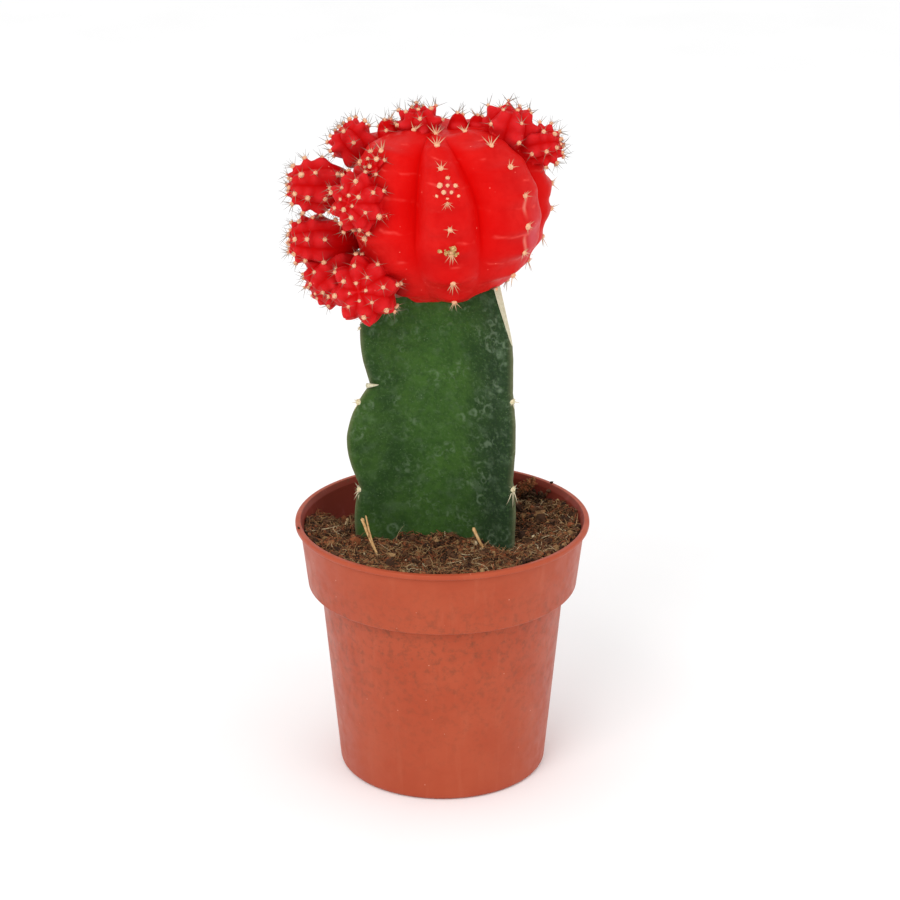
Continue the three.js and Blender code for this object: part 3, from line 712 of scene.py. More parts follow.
def blade_reach(notches, z):
    """A blade's reach at a height: the line through its notches, and the swelling beyond it."""
    for (top, reach, swell, _), (low, low_reach, _, _) in zip(notches, notches[1:]):
        if low < z < top:
            share = (top - z) / (top - low)
            return reach + (low_reach - reach) * share, swell * math.sin(math.pi * share**0.9)
    return (notches[0][1] if z >= notches[0][0] else notches[-1][1]), 0.0


def stem_outline(z, grow, tip_steps, face_steps):
    """The rootstock's outline at a height, and each point's place round it: 0 on a margin, 1 mid-face."""
    centre = np.array(STEM.centre)
    fins = []
    for bearing, notches in BLADES:
        line, swelling = blade_reach(notches, z)
        out = np.array([math.cos(math.radians(bearing)), math.sin(math.radians(bearing))])
        across = np.array([-out[1], out[0]]) * (STEM.fin_half_width + grow)
        start = line + STEM.fin_share * swelling - STEM.fin_depth
        neck = centre + out * start
        pull = centre + out * (2 * (line + swelling + grow) - start)
        fins.append((neck - across, pull, neck + across))
    points = []
    for i, (before, pull, after) in enumerate(fins):
        bend = np.array(FACE_BENDS[i])
        bend = centre + bend + unit(bend) * grow * 1.3
        points.append(curve(before, pull, after, np.arange(tip_steps) / tip_steps))
        points.append(curve(after, bend, fins[(i + 1) % 3][0], np.arange(face_steps) / face_steps))
    flat = np.vstack(points)
    return np.column_stack([flat, np.full(len(flat), z)])


def cut_plane(cut):
    point, bearing, slope = cut
    b = math.radians(bearing)
    s = math.radians(slope)
    return np.array(point), np.array([math.sin(s) * math.cos(b), math.sin(s) * math.sin(b), math.cos(s)])


def stem_body(name, grow, step, tip_steps, face_steps):
    """The rootstock's closed body, cut at the top, with the cut faces on its second material."""
    heights = [STEM.foot, *np.arange(STEM.first_ring - 1, STEM.top, step), STEM.top + grow]
    rings = [stem_outline(z, grow, tip_steps, face_steps) for z in heights]
    ends = [(*STEM.centre, heights[0]), (*STEM.centre, heights[-1])]
    obj = mesh_object(name, *loft(rings, *ends), ["stem", "cut"])
    bm = bmesh.new()
    bm.from_mesh(obj.data)
    for cut in CUTS:
        point, normal = cut_plane(cut)
        where = Vector((point + normal * grow) * MM)
        everything = [*bm.verts, *bm.edges, *bm.faces]
        bmesh.ops.bisect_plane(bm, geom=everything, plane_co=where, plane_no=Vector(normal), clear_outer=True)
        border = [e for e in bm.edges if e.is_boundary]
        filled = bmesh.ops.triangle_fill(bm, edges=border, use_beauty=True)
        for item in filled["geom"]:
            if isinstance(item, bmesh.types.BMFace):
                item.material_index = 1
    bmesh.ops.recalc_face_normals(bm, faces=bm.faces)
    bm.to_mesh(obj.data)
    bm.free()
    return obj


def shade_stem(stem, flat, distance):
    """What the look needs at each point: dry margins, the dark right blade and the light middle."""
    bearing = np.degrees(np.arctan2(flat[:, 1], flat[:, 0]))
    away_from = lambda blade: np.abs((bearing - blade + 180) % 360 - 180)
    margin = 0
    for blade, notches in BLADES:
        line = np.array([sum(blade_reach(notches, z)) for z in points_of(stem)[:, 2]])
        margin = np.maximum(margin, (away_from(blade) < 25) * np.clip(1 - (line - distance) / 1.6, 0, 1))
    right_blade = BLADES[1][0]
    set_attribute(stem, "horn", HORN * margin**6)
    set_attribute(stem, "shade", (away_from(right_blade) < 40) * np.clip((distance - 8) / 5, 0, 1))
    set_attribute(stem, "middle", np.clip(1 - distance / 9, 0, 1))


def make_stem():
    stem = stem_body("stem", 0, 0.4, 10, 30)
    co = points_of(stem)
    flat = co[:, :2] - np.array(STEM.centre)
    shade_stem(stem, flat, np.hypot(flat[:, 0], flat[:, 1]))
    outward = unit(np.column_stack([flat, np.zeros(len(co))]))
    uneven = (0.18 * noise(co, 6, 3) + 0.07 * noise(co, 1.8, 4)) * np.clip((92 - co[:, 2]) / 6, 0, 1)
    stem.data.vertices.foreach_set("co", ((co + outward * uneven[:, None]) * MM).ravel())
    shade_smooth(stem, 35)
    return finish_piece(stem, "rootstock", replaces=True)


# ---- scion bodies


class Globe:
    """A body of the scion in polar form, as in the part's source."""

    def __init__(self, spec):
        self.__dict__.update(spec)
        self.centre = np.array(self.at, float)
        self.up = unit(self.axis)
        front = np.array([0.0, -1, 0]) - self.up * -self.up[1]
        if np.linalg.norm(front) < 0.5:
            front = np.array([0.0, 0, 1]) - self.up * self.up[2]
        self.front = unit(front)
        self.side = np.cross(self.up, self.front)

    def areole_places(self):
        return [(rib, polar) for rib, angles in enumerate(self.areoles) for polar in angles]

    def wave(self, rib, polar, width):
        """How close points are to an areole of their rib: 1 at an areole, falling to 0 round it."""
        return sum((rib == i) * np.exp(-(((polar - at) / width) ** 2)) for i, at in self.areole_places())

    def point(self, rib, across, polar):
        """Surface points at rib numbers, places across the rib (-1 to 1) and polar angles in degrees."""
        rib, across, polar = np.broadcast_arrays(rib, np.asarray(across, float), np.asarray(polar, float))
        grooves = np.array([*self.grooves, self.grooves[0] + 360], float)
        spreads = np.array([*self.spreads, self.spreads[0]])
        spread = np.clip((polar - 55) / 25, -1, 1)
        start = grooves[rib] + spreads[rib] * spread
        end = grooves[rib + 1] + spreads[rib + 1] * spread
        turn = np.radians((start + end) / 2 + across * (end - start) / 2)
        s = np.sin(np.radians(polar))
        c = np.cos(np.radians(polar))
        fade = s**0.6
        crest = np.array(self.crests)[rib]
        aside = np.abs((across - crest) / (1 - crest * np.sign(across - crest)))
        swell = 1 + np.array(self.swells)[rib] * fade * (1 - aside**2)
        valley = aside**self.sharpness
        if self.rounded:
            valley = 0.5 - 0.5 * np.cos(np.pi * valley)
        depth = self.depth * fade * (1 - eased(self.shallow, (polar - 75) / 37))
        taller = 1 + eased(self.crown_knob, (60 - polar) / 30)
        knob = self.knob * taller * fade * self.wave(rib, polar, self.knob_width) * (1 - aside) ** 1.2
        power = np.where(c > 0, self.roundness, 1)
        outward = self.radius * (swell - depth * valley) * (1 + self.taper * np.minimum(c, 0.4)) + knob
        length = np.where(c > 0, self.crown, self.root)
        lift = 1 - eased(np.array(self.lifts)[rib] * (1 - aside**2), (polar - 105) / 40)
        along = (length * swell + knob) * np.sign(c) * np.abs(c) ** power * lift
        dimple = self.dimple * np.exp(-((polar / 20) ** 2))
        return (
            self.centre
            + np.array([self.lean, 0, 0]) * (np.maximum(c, 0) ** 2)[..., None]
            + self.front * (outward * s**power * np.cos(turn))[..., None]
            + self.side * (outward * s**power * np.sin(turn))[..., None]
            + self.up * (along - dimple)[..., None]
        )

    def crest(self, rib, polar):
        return self.point(rib, self.crests[rib], polar)

    def normal(self, rib, polar):
        across = self.crests[rib]
        east = self.point(rib, across + 0.1, polar) - self.point(rib, across - 0.1, polar)
        south = self.crest(rib, polar + 3) - self.crest(rib, polar - 3)
        return unit(np.cross(south, east))

    def nearness(self, points, margin=0.0):
        """Distances from the centre, where 1 is on the body's plain ellipsoid, grown by a margin."""
        d = points - self.centre
        along = d @ self.up
        outward = np.sqrt(np.maximum(0, (d * d).sum(-1) - along**2))
        length = np.where(along > 0, self.crown, self.root)
        return np.hypot(outward / (self.radius + margin), along / (length + margin))


def offset_spec(defaults, at, axis, radius, crown, root, ribs, spin, own={}):
    defaults = {**defaults, **own}
    grooves = tuple(spin + (i - 0.5) / ribs * 360 for i in range(ribs))
    first, step, last = defaults["spread"]
    angles = tuple(tuple(np.arange(first + i % 2 * step / 2, last + 0.1, step)) for i in range(ribs))
    given = {"at": at, "axis": axis, "radius": radius, "crown": crown, "root": root}
    even = {key: (0,) * ribs for key in ("spreads", "crests", "swells", "lifts")}
    return {**defaults, **given, **even, "grooves": grooves, "areoles": angles}


FIRST_BUD = 1 + len(OFFSETS)
FIRST_TUBERCLE = FIRST_BUD + len(BUDS)
GLOBES = [Globe(MOTHER)]
GLOBES += [Globe(offset_spec(OFFSET, *row)) for row in OFFSETS]
GLOBES += [Globe(offset_spec(BUD, *row)) for row in BUDS]
GLOBES += [Globe(offset_spec(TUBERCLE, *row)) for row in TUBERCLES]


def shade_of_offsets(points):
    """How close points of the mother lie to the offsets' flanks: 1 at an offset, falling to 0 beside it."""
    nearest = np.min([globe.nearness(points) for globe in GLOBES[1:FIRST_BUD]], axis=0)
    return np.clip((1.5 - nearest) / 0.5, 0, 1)


def creases(globe, R, A, P, body):
    """Fine folds across the ribs, midway between the areoles."""
    wander = P + (2.2 * noise(body, 5, 14) + 0.8 * noise(body, 1.2, 15)).reshape(P.shape)
    folds = np.zeros(P.shape)
    for i, angles in enumerate(globe.areoles):
        for above, below in zip(angles, angles[1:]):
            middle = above + (below - above) * 0.5 + 5 * A
            folds = folds + (R == i) * np.exp(-(((wander - middle) / 0.6) ** 2))
    return folds * (1 - np.abs(A) ** 4)


def mother_skin(R, A, P, body):
    """What the look needs at each point: grooves with painted light and shade, painted shade beside offsets,
    and a dull side with painted sheen and a pale vein.
    """
    vein = (R == 1) * np.exp(-(((A + 0.08 - 0.02 * np.sin(P / 4)) / 0.015) ** 2)) * (P > 79) * (P < 112)
    beside = np.where(R == 1, A - 0.25, A + 1.75)
    return {
        "young": 0 * P,
        "painted_groove_shading": np.abs(A) ** 3 * np.clip((130 - P) / 40, 0, 1),
        "groove_line_shade": np.abs(A) ** 16 * np.clip((125 - P) / 30, 0, 1),
        "hollow_shade": shade_of_offsets(body),
        "vein": vein,
        # Where the patch of painted sheen on dull skin lies.
        "sheen_and_dull": 0.8 * ((R == 1) | (R == 2)) * np.exp(-((beside / 0.22) ** 2) - ((P - 103) / 12) ** 2),
    }


def offset_skin(index, globe, R, A, P):
    """The same for an offset, with painted shade in its grooves everywhere but on the knobs, and painted
    shade near its root.
    """
    bud = index == FIRST_BUD
    painted_groove_shading = (1 - globe.wave(R, P, 1.2 * globe.knob_width) * (1 - np.abs(A))) ** 2
    return {
        "young": 0 * P + (1.0 if bud else 0.6),
        "painted_groove_shading": painted_groove_shading * (0.2 if bud else 1),
        "groove_line_shade": 0 * P,
        "hollow_shade": np.clip((P - 95) / 40, 0, 1),
        "vein": 0 * P,
        "sheen_and_dull": 0 * P,
    }


def globe_mesh(index, globe, per_rib, rings):
    """A fine closed mesh of one body, with what its skin needs to know at each point."""
    ribs = len(globe.grooves)
    polar = 180 * (np.arange(rings) + 1) / (rings + 1)
    P, R = np.meshgrid(polar, np.repeat(np.arange(ribs), per_rib), indexing="ij")
    A = np.broadcast_to(np.tile(2 * np.arange(per_rib) / per_rib - 1, ribs), P.shape)
    body = globe.point(R, A, P).reshape(-1, 3)
    top, bottom = globe.point(0, 0.0, np.array([0.01, 179.99]))
    folds = creases(globe, R, A, P, body)
    if index == 0:
        ripple = noise(body, 2.6, 11) * 0.07 + noise(body, 7, 12) * 0.22 - 0.06 * folds.ravel()
    else:
        ripple = noise(body, 1.6, 13 + index) * 0.09
    body = body + unit(body - globe.centre) * ripple[:, None]
    skin = offset_skin(index, globe, R, A, P) if index else mother_skin(R, A, P, body)
    skin["wrinkle"] = folds * (0.2 if index else 1)
    points, faces = loft(list(body.reshape(rings, -1, 3)), top, bottom)
    return points, faces, {key: np.concatenate([[0], values.ravel(), [0]]) for key, values in skin.items()}


MOTHER_MESH, OFFSET_MESH = (30, 150), (10, 48)  # points across a rib, and rings


def make_flesh():
    made = [globe_mesh(i, globe, *(OFFSET_MESH if i else MOTHER_MESH)) for i, globe in enumerate(GLOBES)]
    flesh, *others = [mesh_object(f"body_{i}", points, faces) for i, (points, faces, _) in enumerate(made)]
    for obj in (flesh, *others):
        outward_faces(obj)
    flesh.name = "scion_flesh"
    combine(flesh, others, "UNION")
    combine(flesh, [stem_body("graft", GAP, 1.0, 8, 16)], "DIFFERENCE")
    paint(flesh, "flesh")
    everything = np.vstack([points for points, _, _ in made])
    tree = KDTree(len(everything))
    for i, p in enumerate(everything):
        tree.insert(p, i)
    tree.balance()
    nearest = np.array([tree.find(p)[1] for p in points_of(flesh)])
    for key in made[0][2]:
        set_attribute(flesh, key, np.concatenate([skin[key] for _, _, skin in made])[nearest])
    flesh.data.shade_smooth()
    return finish_piece(flesh, "scion", replaces=True)


# ---- areoles: wool and spines


def areoles():
    """Every open areole of the scion as (body, rib, polar, point, normal)."""
    found = []
    for index, globe in enumerate(GLOBES):
        for rib, polar in globe.areole_places():
            point = globe.crest(rib, polar)
            hidden = any(other.nearness(point, 0.5) < 1 for other in GLOBES if other is not globe)
            if not hidden and point[2] >= LOWEST_AREOLE:
                found.append((index, rib, polar, point, globe.normal(rib, polar)))
    return found


def icosphere(level):
    bm = bmesh.new()
    bmesh.ops.create_icosphere(bm, subdivisions=level, radius=1)
    points = np.array([v.co for v in bm.verts])
    faces = np.array([[v.index for v in f.verts] for f in bm.faces])
    bm.free()
    return points, faces


def needles(name, roots, directions, lengths, radii, bends, look, node, sides=5, segments=4, **shades):
    """Tapered, slightly bent spines in one piece. Shades are further values for the look, one a spine."""
    count = len(roots)
    directions = unit(directions)
    a, b = basis(directions)
    t = np.arange(segments) / segments
    centres = roots[:, None] + directions[:, None] * (lengths[:, None] * t)[..., None]
    centres = centres + bends[:, None] * (lengths[:, None] * t**2)[..., None]
    width = radii[:, None] * (1 - t) ** 0.75
    body = tubes(centres, a[:, None], b[:, None], width[..., None], sides)
    tips = roots + directions * lengths[:, None] + bends * lengths[:, None]
    per = segments * sides + 1
    points = np.concatenate([body.reshape(count, -1, 3), tips[:, None]], axis=1)
    last = per - 1 - sides
    template = [tuple(range(sides))[::-1], *grid_faces(segments, sides)]
    template += [(last + c, last + (c + 1) % sides, per - 1) for c in range(sides)]
    along = np.tile(np.concatenate([np.repeat(t, sides), [1.0]]), count)
    values = {"along": along, **{key: np.repeat(value, per) for key, value in shades.items()}}
    return finish_piece(mesh_object(name, points, repeated(template, per, count), [look], values), node)


def fit_in_box(roots, directions, lengths, bends, margin=0.06):
    """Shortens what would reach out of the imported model's box."""
    low, high = CAD_BOX[0] + margin, CAD_BOX[1] - margin
    for _ in range(12):
        tips = roots + unit(directions) * lengths[:, None] + bends * lengths[:, None]
        outside = ((tips < low) | (tips > high)).any(1)
        lengths = np.where(outside, lengths * 0.9, lengths)
    return lengths


def cushions(name, points, normals, sizes, flatness, look, node):
    """Felted cushions, each a lumpy dome."""
    ball, ball_faces = icosphere(2)
    count = len(points)
    uneven = 1 + 0.22 * noise(np.tile(ball, (count, 1)) + np.repeat(points, len(ball), 0) * 3.1, 0.5, 21)
    local = ball * uneven.reshape(count, -1, 1) * sizes[:, None, None]
    shaped = turned(local, *basis(normals), normals * flatness, points)
    return finish_piece(mesh_object(name, shaped, repeated(ball_faces, len(ball), count), [look]), node)


def wool_hairs(name, points, normals, sizes, look, node, each=14):
    a, b = basis(normals)
    shape = (len(points), each)
    turn = rng.uniform(0, 2 * np.pi, shape)
    tilt = rng.uniform(0.05, 1.25, shape)
    sideways = a[:, None] * np.cos(turn)[..., None] + b[:, None] * np.sin(turn)[..., None]
    direction = normals[:, None] * np.cos(tilt)[..., None] + sideways * np.sin(tilt)[..., None]
    root = points[:, None] + sideways * (sizes[:, None] * 0.55 * rng.uniform(0, 1, shape))[..., None]
    length = sizes[:, None] * rng.uniform(0.9, 1.7, shape)
    count = length.size
    bend = rng.normal(0, 0.18, (count, 3))
    root, direction = root.reshape(-1, 3), direction.reshape(-1, 3)
    radii = np.full(count, 0.03)
    return needles(name, root, direction, length.ravel(), radii, bend, look, node, sides=3, segments=2)


LOWEST_AREOLE = 91.5  # what is lower would lie on the rootstock


def make_areoles():
    found = areoles()
    index, _, polar, points, normals = (np.array(column) for column in zip(*found))
    size = np.where(index == 0, rng.uniform(0.42, 0.6, len(found)), rng.uniform(0.36, 0.5, len(found)))
    size = size * rng.uniform(0.82, 1.15, len(found))
    size = np.where((index > 0) & (polar < 30), size * 0.8, size)
    size = np.where((index == 0) & (polar == UNDER_BUD) & (points[:, 1] < -5), 0.16, size)
    cushions("scion_wool", points + normals * 0.05, normals, size, 0.75, "wool", "scion")
    wool_hairs("scion_wool_hairs", points + normals * 0.1, normals, size, "wool", "scion")

    rows = []
    for index, rib, polar, point, normal in found:
        globe = GLOBES[index]
        upward = unit(globe.crest(rib, polar - 2) - globe.crest(rib, polar + 2))
        sideways = np.cross(normal, upward)
        for turn, lean, length, radius in spine_plan(index, polar):
            along = upward * math.cos(turn) + sideways * math.sin(turn)
            direction = normal * math.cos(lean) + along * math.sin(lean)
            rows.append((point - normal * 0.15, direction, length, radius, 0.9 if index else 0.15))
    roots, directions, lengths, radii, grey = (np.array(column) for column in zip(*rows))
    bends = rng.normal(0, 0.03, (len(roots), 3))
    lengths = fit_in_box(roots, directions, lengths, bends)
    needles("scion_spines", roots, directions, lengths, radii, bends, "spine", "scion", grey=grey)


def make_dried_flower():
    """What is left of a flower, on the front rib below the equator."""
    mother = GLOBES[0]
    spot = mother.crest(0, UNDER_FLOWER) + mother.normal(0, UNDER_FLOWER) * 0.3 + np.array([-0.2, 0, 0.55])
    spots = spot + rng.normal(0, (0.6, 0.2, 0.5), (22, 3))
    lumps("dried_flower", spots, rng.uniform(0.16, 0.42, 22), np.zeros(22), 0.6, 55, "scar", "scion")


# For each kind of areole: its fewest and its most spines, the half fan that they fill, where the fan's middle
# points (0 is to the crown), and the spines' length and radius.
SPINES = {
    "tubercle": (3, 3, 2.4, 0, 2.7, 0.075),
    "toothed": (3, 5, 2.2, 0, 2.4, 0.07),
    "offset_crown": (3, 3, 2.6, 0, 1.3, 0.045),
    "offset": (4, 6, 2.8, 0, 2.5, 0.055),
    "crown": (4, 5, 1.5, 0, 2.5, 0.12),
    "under_bud": (7, 7, 1.5, math.pi, 1.9, 0.08),
    "under_flower": (5, 5, 1.0, math.pi, 2.3, 0.1),
    "side": (4, 6, 2.8, 0, 1.9, 0.09),
    "low": (4, 5, 1.1, math.pi, 2.6, 0.1),
}
UNDER_BUD, UNDER_FLOWER = 74, 102  # polar angles of two areoles on the front rib


def spine_kind(index, polar):
    if index >= FIRST_TUBERCLE:
        return "tubercle"
    if GLOBES[index].knob_width == TOOTHED["knob_width"]:
        return "toothed"
    if index > 0:
        return "offset_crown" if polar < 25 else "offset"
    if polar < 48:
        return "crown"
    if polar in (UNDER_BUD, UNDER_FLOWER):
        return "under_bud" if polar == UNDER_BUD else "under_flower"
    return "side" if polar < 115 else "low"


def spine_plan(index, polar):
    """The turn, lean, length and radius of each spine of an areole. A turn of 0 points to the crown."""
    if index == FIRST_BUD:
        return []
    fewest, most, spread, middle, reach, radius = SPINES[spine_kind(index, polar)]
    count = fewest if fewest == most else rng.integers(fewest, most + 1)
    plan = []
    for k in range(count):
        turn = middle + spread * (2 * (k + rng.uniform(0.2, 0.8)) / count - 1)
        lean = math.radians(rng.uniform(38, 62))
        plan.append((turn, lean, reach * rng.uniform(0.75, 1.12), radius * rng.uniform(0.85, 1.15)))
    return plan


# The spines of each rootstock areole: how far each points outward, up and towards the viewer, and its length.
STEM_SPINES = {
    85.6: [(0.6, 0.3, 0.3, 0.8), (0.7, -0.5, 0.2, 0.7)],
    71.2: [(1, 0.1, 0, 1.5), (0.7, 0.6, 0, 1.3), (0.5, -0.6, 0.4, 1.8),
           (0.2, 0.7, 0.6, 1.2), (-0.2, 0.5, 0.8, 1.0)],
    53.8: [(0.45, 0.8, 0.1, 2.0), (0.15, 0.9, 0.3, 1.6), (0.5, -0.85, 0.1, 2.3),
           (0.8, -0.5, 0.3, 1.5), (0.1, -0.9, 0.4, 2.0)],
    72.9: [(1, 0.05, 0, 1.8), (0.3, -0.8, 0.3, 1.7), (-0.3, 0.5, 0.7, 1.1),
           (0.6, 0.6, 0.2, 1.1), (-0.2, -0.4, 0.9, 1.2)],
    55.6: [(0.5, -0.9, 0.1, 3.2), (-0.3, -0.8, 0.6, 3.2), (0.1, -0.9, 0.5, 3.4),
           (0.5, 0.7, 0.1, 1.6), (-0.5, 0.6, 0.6, 1.3)],
    81.4: [(1, 0.2, 0, 2), (0.5, 0.8, 0, 1.7), (0.5, -0.7, 0.3, 1.7)],
    61.4: [(1, 0.1, 0, 2), (0.5, -0.8, 0, 2.2), (0.5, 0.7, -0.3, 1.4)],
}


def make_wedge_scar():
    """The pale dry point in the left blade's middle notch."""
    root, tip = np.array([-13.9, 2.5, 74.5]), np.array([-11.6, 1.4, 74.9])
    way = tip - root
    needles("wedge_scar", root[None], way[None], np.array([np.linalg.norm(way)]), np.array([0.5]),
            np.array([[0, 0, 0.06]]), "cut", "rootstock", sides=8)


def make_stem_areoles():
    points, normals, sizes, rows = [], [], [], []
    for bearing, notches in BLADES:
        out = np.array([math.cos(math.radians(bearing)), math.sin(math.radians(bearing)), 0])
        for z in [areole for *_, areole in notches if areole]:
            point = np.array([*STEM.centre, z]) + out * (sum(blade_reach(notches, z)) - 0.15)
            points.append(point)
            normals.append(unit(out + np.array([0, -0.2, 0.35])))
            sizes.append(0.32 if z > 85 else 0.62)
            for outward, upward, nearer, length in STEM_SPINES[z]:
                rows.append((point, out * outward + np.array([0, -nearer, upward]), length))
    points, normals, sizes = np.array(points), np.array(normals), np.array(sizes)
    cushions("stem_wool", points, normals, sizes, 0.8, "cream", "rootstock")
    wool_hairs("stem_wool_hairs", points, normals, sizes, "cream", "rootstock", 34)
    roots, directions, lengths = (np.array(column) for column in zip(*rows))
    bends = rng.normal(0, 0.06, (len(rows), 3)) + np.array([0, 0, -0.12])
    radii, grey = np.full(len(rows), 0.13), rng.uniform(0, 0.3, len(rows))
    needles("stem_spines", roots, directions, lengths, radii, bends, "cream_spine", "rootstock", grey=grey)


# ---- soil


def soil_height(x, y):
    share = np.hypot(x, y) / (POT.collar_top - POT.wall)
    lie = -SOIL.dish * (1 - share**3) - SOIL.tilt * y
    for at_x, at_y, height, reach in HOLLOWS:
        lie = lie + height * np.exp(-((x - at_x) ** 2 + (y - at_y) ** 2) / reach**2)
    clods = np.sin(0.93 * x + 1.3 * np.sin(0.61 * y)) * np.sin(0.87 * y + 1.1 * np.sin(0.52 * x))
    clods = clods + 0.5 * np.sin(1.9 * x + 0.7) * np.sin(1.7 * y + 2.1)
    return SOIL.level + lie + SOIL.clods * clods


def collar_inside(z, clearance):
    """The radius of the pot's inside at a height in its collar."""
    (rim_r, rim_z), (foot_r, foot_z) = pot_inside(clearance)[1:3]
    return foot_r + (rim_r - foot_r) * (z - foot_z) / (rim_z - foot_z)


def keep_inside(points, margin):
    """Draws in what lies nearer to the pot's wall than a margin."""
    room = collar_inside(points[..., 2], 0) - margin
    points[..., :2] *= np.minimum(1, room / np.hypot(points[..., 0], points[..., 1]))[..., None]


def soil_edge(turns):
    """The radius at which the surface meets the wall, where it is as high as near there."""
    near = pot_inside(GAP)[1][0] - 0.5
    return collar_inside(soil_height(near * np.cos(turns), near * np.sin(turns)), GAP)


def make_soil_bed():
    inside = pot_inside(GAP)[::-1]
    turns = circle(240)
    ring = lambda r, z: np.stack([r * np.cos(turns), r * np.sin(turns), np.broadcast_to(z, turns.shape)], 1)
    rows = [ring(r, z) for r, z in inside[1:-2]]
    for share in 1 - np.arange(80) / 80:
        flat = ring(share * soil_edge(turns), 0)
        rough = 0.4 * noise(flat, 1.3, 31) + 0.3 * noise(flat, 0.6, 32) - 0.3
        flat[:, 2] = soil_height(flat[:, 0], flat[:, 1]) + rough
        rows.append(flat)
    points, faces = loft(rows, (0, 0, inside[0][1]), (0, 0, float(soil_height(0.0, 0.0))))
    bed = mesh_object("soil_bed", points, faces)
    outward_faces(bed)
    combine(bed, [stem_body("hole", GAP, 1.0, 8, 16)], "DIFFERENCE")
    paint(bed, "soil")
    set_attribute(bed, "tone", 0.12 + 0.12 * noise(points_of(bed), 1.2, 33))
    return finish_piece(bed, "soil", replaces=True)


def free_spots(local_rng, count, margin, spare=0.0):
    """Random spots on the soil's surface, outside the rootstock and inside the pot's wall."""
    turn = local_rng.uniform(0, 2 * np.pi, count)
    r = (soil_edge(turn) - spare) * np.sqrt(local_rng.uniform(size=count))
    x, y = r * np.cos(turn), r * np.sin(turn)
    taken = np.zeros(count, bool)
    outline = stem_outline(45, margin, 8, 12)[:, :2]
    for a, b in zip(outline, np.roll(outline, -1, 0)):
        crossing = (a[1] > y) != (b[1] > y)
        taken ^= crossing & (x < a[0] + (y - a[1]) * (b[0] - a[0]) / (b[1] - a[1] + 1e-12))
    x, y = x[~taken], y[~taken]
    return np.column_stack([x, y, soil_height(x, y)])


def lumps(name, spots, sizes, tones, stretch, seed, look="soil", node="soil"):
    """Angular crumbs in one piece, each a ball stretched and dented at random."""
    local_rng = np.random.default_rng(seed)
    ball, ball_faces = icosphere(1)
    count, n = len(spots), len(ball)
    axes = unit(local_rng.normal(size=(count, 3)))
    dents = 1 + 0.3 * local_rng.uniform(-1, 1, (count, n, 1))
    local = ball * dents * (sizes[:, None] * local_rng.uniform(1 - stretch, 1 + stretch, (count, 3)))[:, None]
    points = turned(local, *basis(axes), axes, spots)
    faces, shades = repeated(ball_faces, n, count), {"tone": np.repeat(tones, n)}
    return finish_piece(mesh_object(name, points, faces, [look], shades, smooth=False), node)


# Tones of peat, as places on the soil's colour ramp, and how common they are among crumbs and fibres.
TONES = (0.08, 0.27, 0.45, 0.6, 0.8, 0.97)
CRUMB_SHARES = (0.32, 0.30, 0.14, 0.14, 0.09, 0.01)
LUMP_SHARES = (0.42, 0.36, 0.12, 0.08, 0.02, 0.0)
FIBRE_SHARES = (0.06, 0.16, 0.20, 0.30, 0.25, 0.03)
PALE_SHARES = (0.0, 0.0, 0.0, 0.0, 0.5, 0.5)


def peat_tones(local_rng, spots, shares):
    """A tone for each crumb or fibre, darker in some clumps of the soil than in others."""
    tones = local_rng.choice(TONES, len(spots), p=shares) + local_rng.normal(0, 0.04, len(spots))
    return np.clip(tones * (0.92 + 0.3 * noise(spots, 3.2, 35)), 0, 1)


def make_crumbs(name, count, median, lift, shares, seed):
    local_rng = np.random.default_rng(seed)
    spots = free_spots(local_rng, count, 0.15)
    sizes = np.clip(local_rng.lognormal(math.log(median), 0.35, len(spots)), 0.4 * median, 2.4 * median)
    spots[:, 2] += lift * local_rng.uniform(-0.6, 1, len(spots))
    keep_inside(spots, 1.25 * sizes)
    return lumps(name, spots, sizes, peat_tones(local_rng, spots, shares), 0.35, seed + 1)


def make_fibres(name, count, length, radius, shares, seed):
    """Curled fibres that lie on the soil, some of them arched or raised at one end."""
    local_rng = np.random.default_rng(seed)
    spots = free_spots(local_rng, count, 0.2, 0.2)
    count = len(spots)
    steps, sides = 6, 3
    size = local_rng.uniform(*length, count)
    width = local_rng.uniform(*radius, count)
    t = np.linspace(-0.5, 0.5, steps)
    curl = local_rng.normal(0, 1.6, (2, count, 1))
    angle = local_rng.uniform(0, 2 * np.pi, (count, 1)) + curl[0] * t + 2 * curl[1] * t**2
    stride = size[:, None] / (steps - 1)
    flat = np.cumsum(np.stack([np.cos(angle), np.sin(angle)], -1) * stride[..., None], 1)
    flat = flat - flat.mean(1, keepdims=True)
    rise = local_rng.normal(0, 0.35, (count, 1)) * t
    rise = rise + local_rng.uniform(-0.2, 0.6, (count, 1)) * (0.25 - t**2)
    centres = spots[:, None] + np.concatenate([flat, (rise * size[:, None])[..., None]], -1)
    centres[..., 2] += local_rng.uniform(0.05, 0.45, (count, 1))
    keep_inside(centres, 0.15)
    taper = 1 - 0.7 * np.abs(2 * t) ** 3
    width = (width[:, None] * taper)[..., None]
    points = tubes(centres, *basis(unit(np.gradient(centres, axis=1))), width, sides, (1.3, 0.7))
    per = steps * sides
    template = grid_faces(steps, sides) + [tuple(range(sides))[::-1], tuple(range(per - sides, per))]
    shades = {"tone": np.repeat(peat_tones(local_rng, spots, shares), per)}
    return finish_piece(mesh_object(name, points, repeated(template, per, count), ["soil"], shades), "soil")


# Single crumbs: centre, size and tone.
BITS = [
    (-18.3, 7.5, 44.7, 0.5, 0.92),
    (-18.0, 7.7, 45.4, 0.35, 0.85),
    (10.8, -3.7, 43.3, 0.42, 1.0),
    (-6.7, -11.6, 45.4, 0.25, 1.0),
    (-5.9, -12.5, 45.2, 0.28, 1.0),
    (-14.4, -10.1, 46.1, 0.3, 0.95),
    (-26.6, -5.6, 49.4, 0.3, 0.05),
    (21.0, 16.8, 49.5, 0.3, 0.05),
]
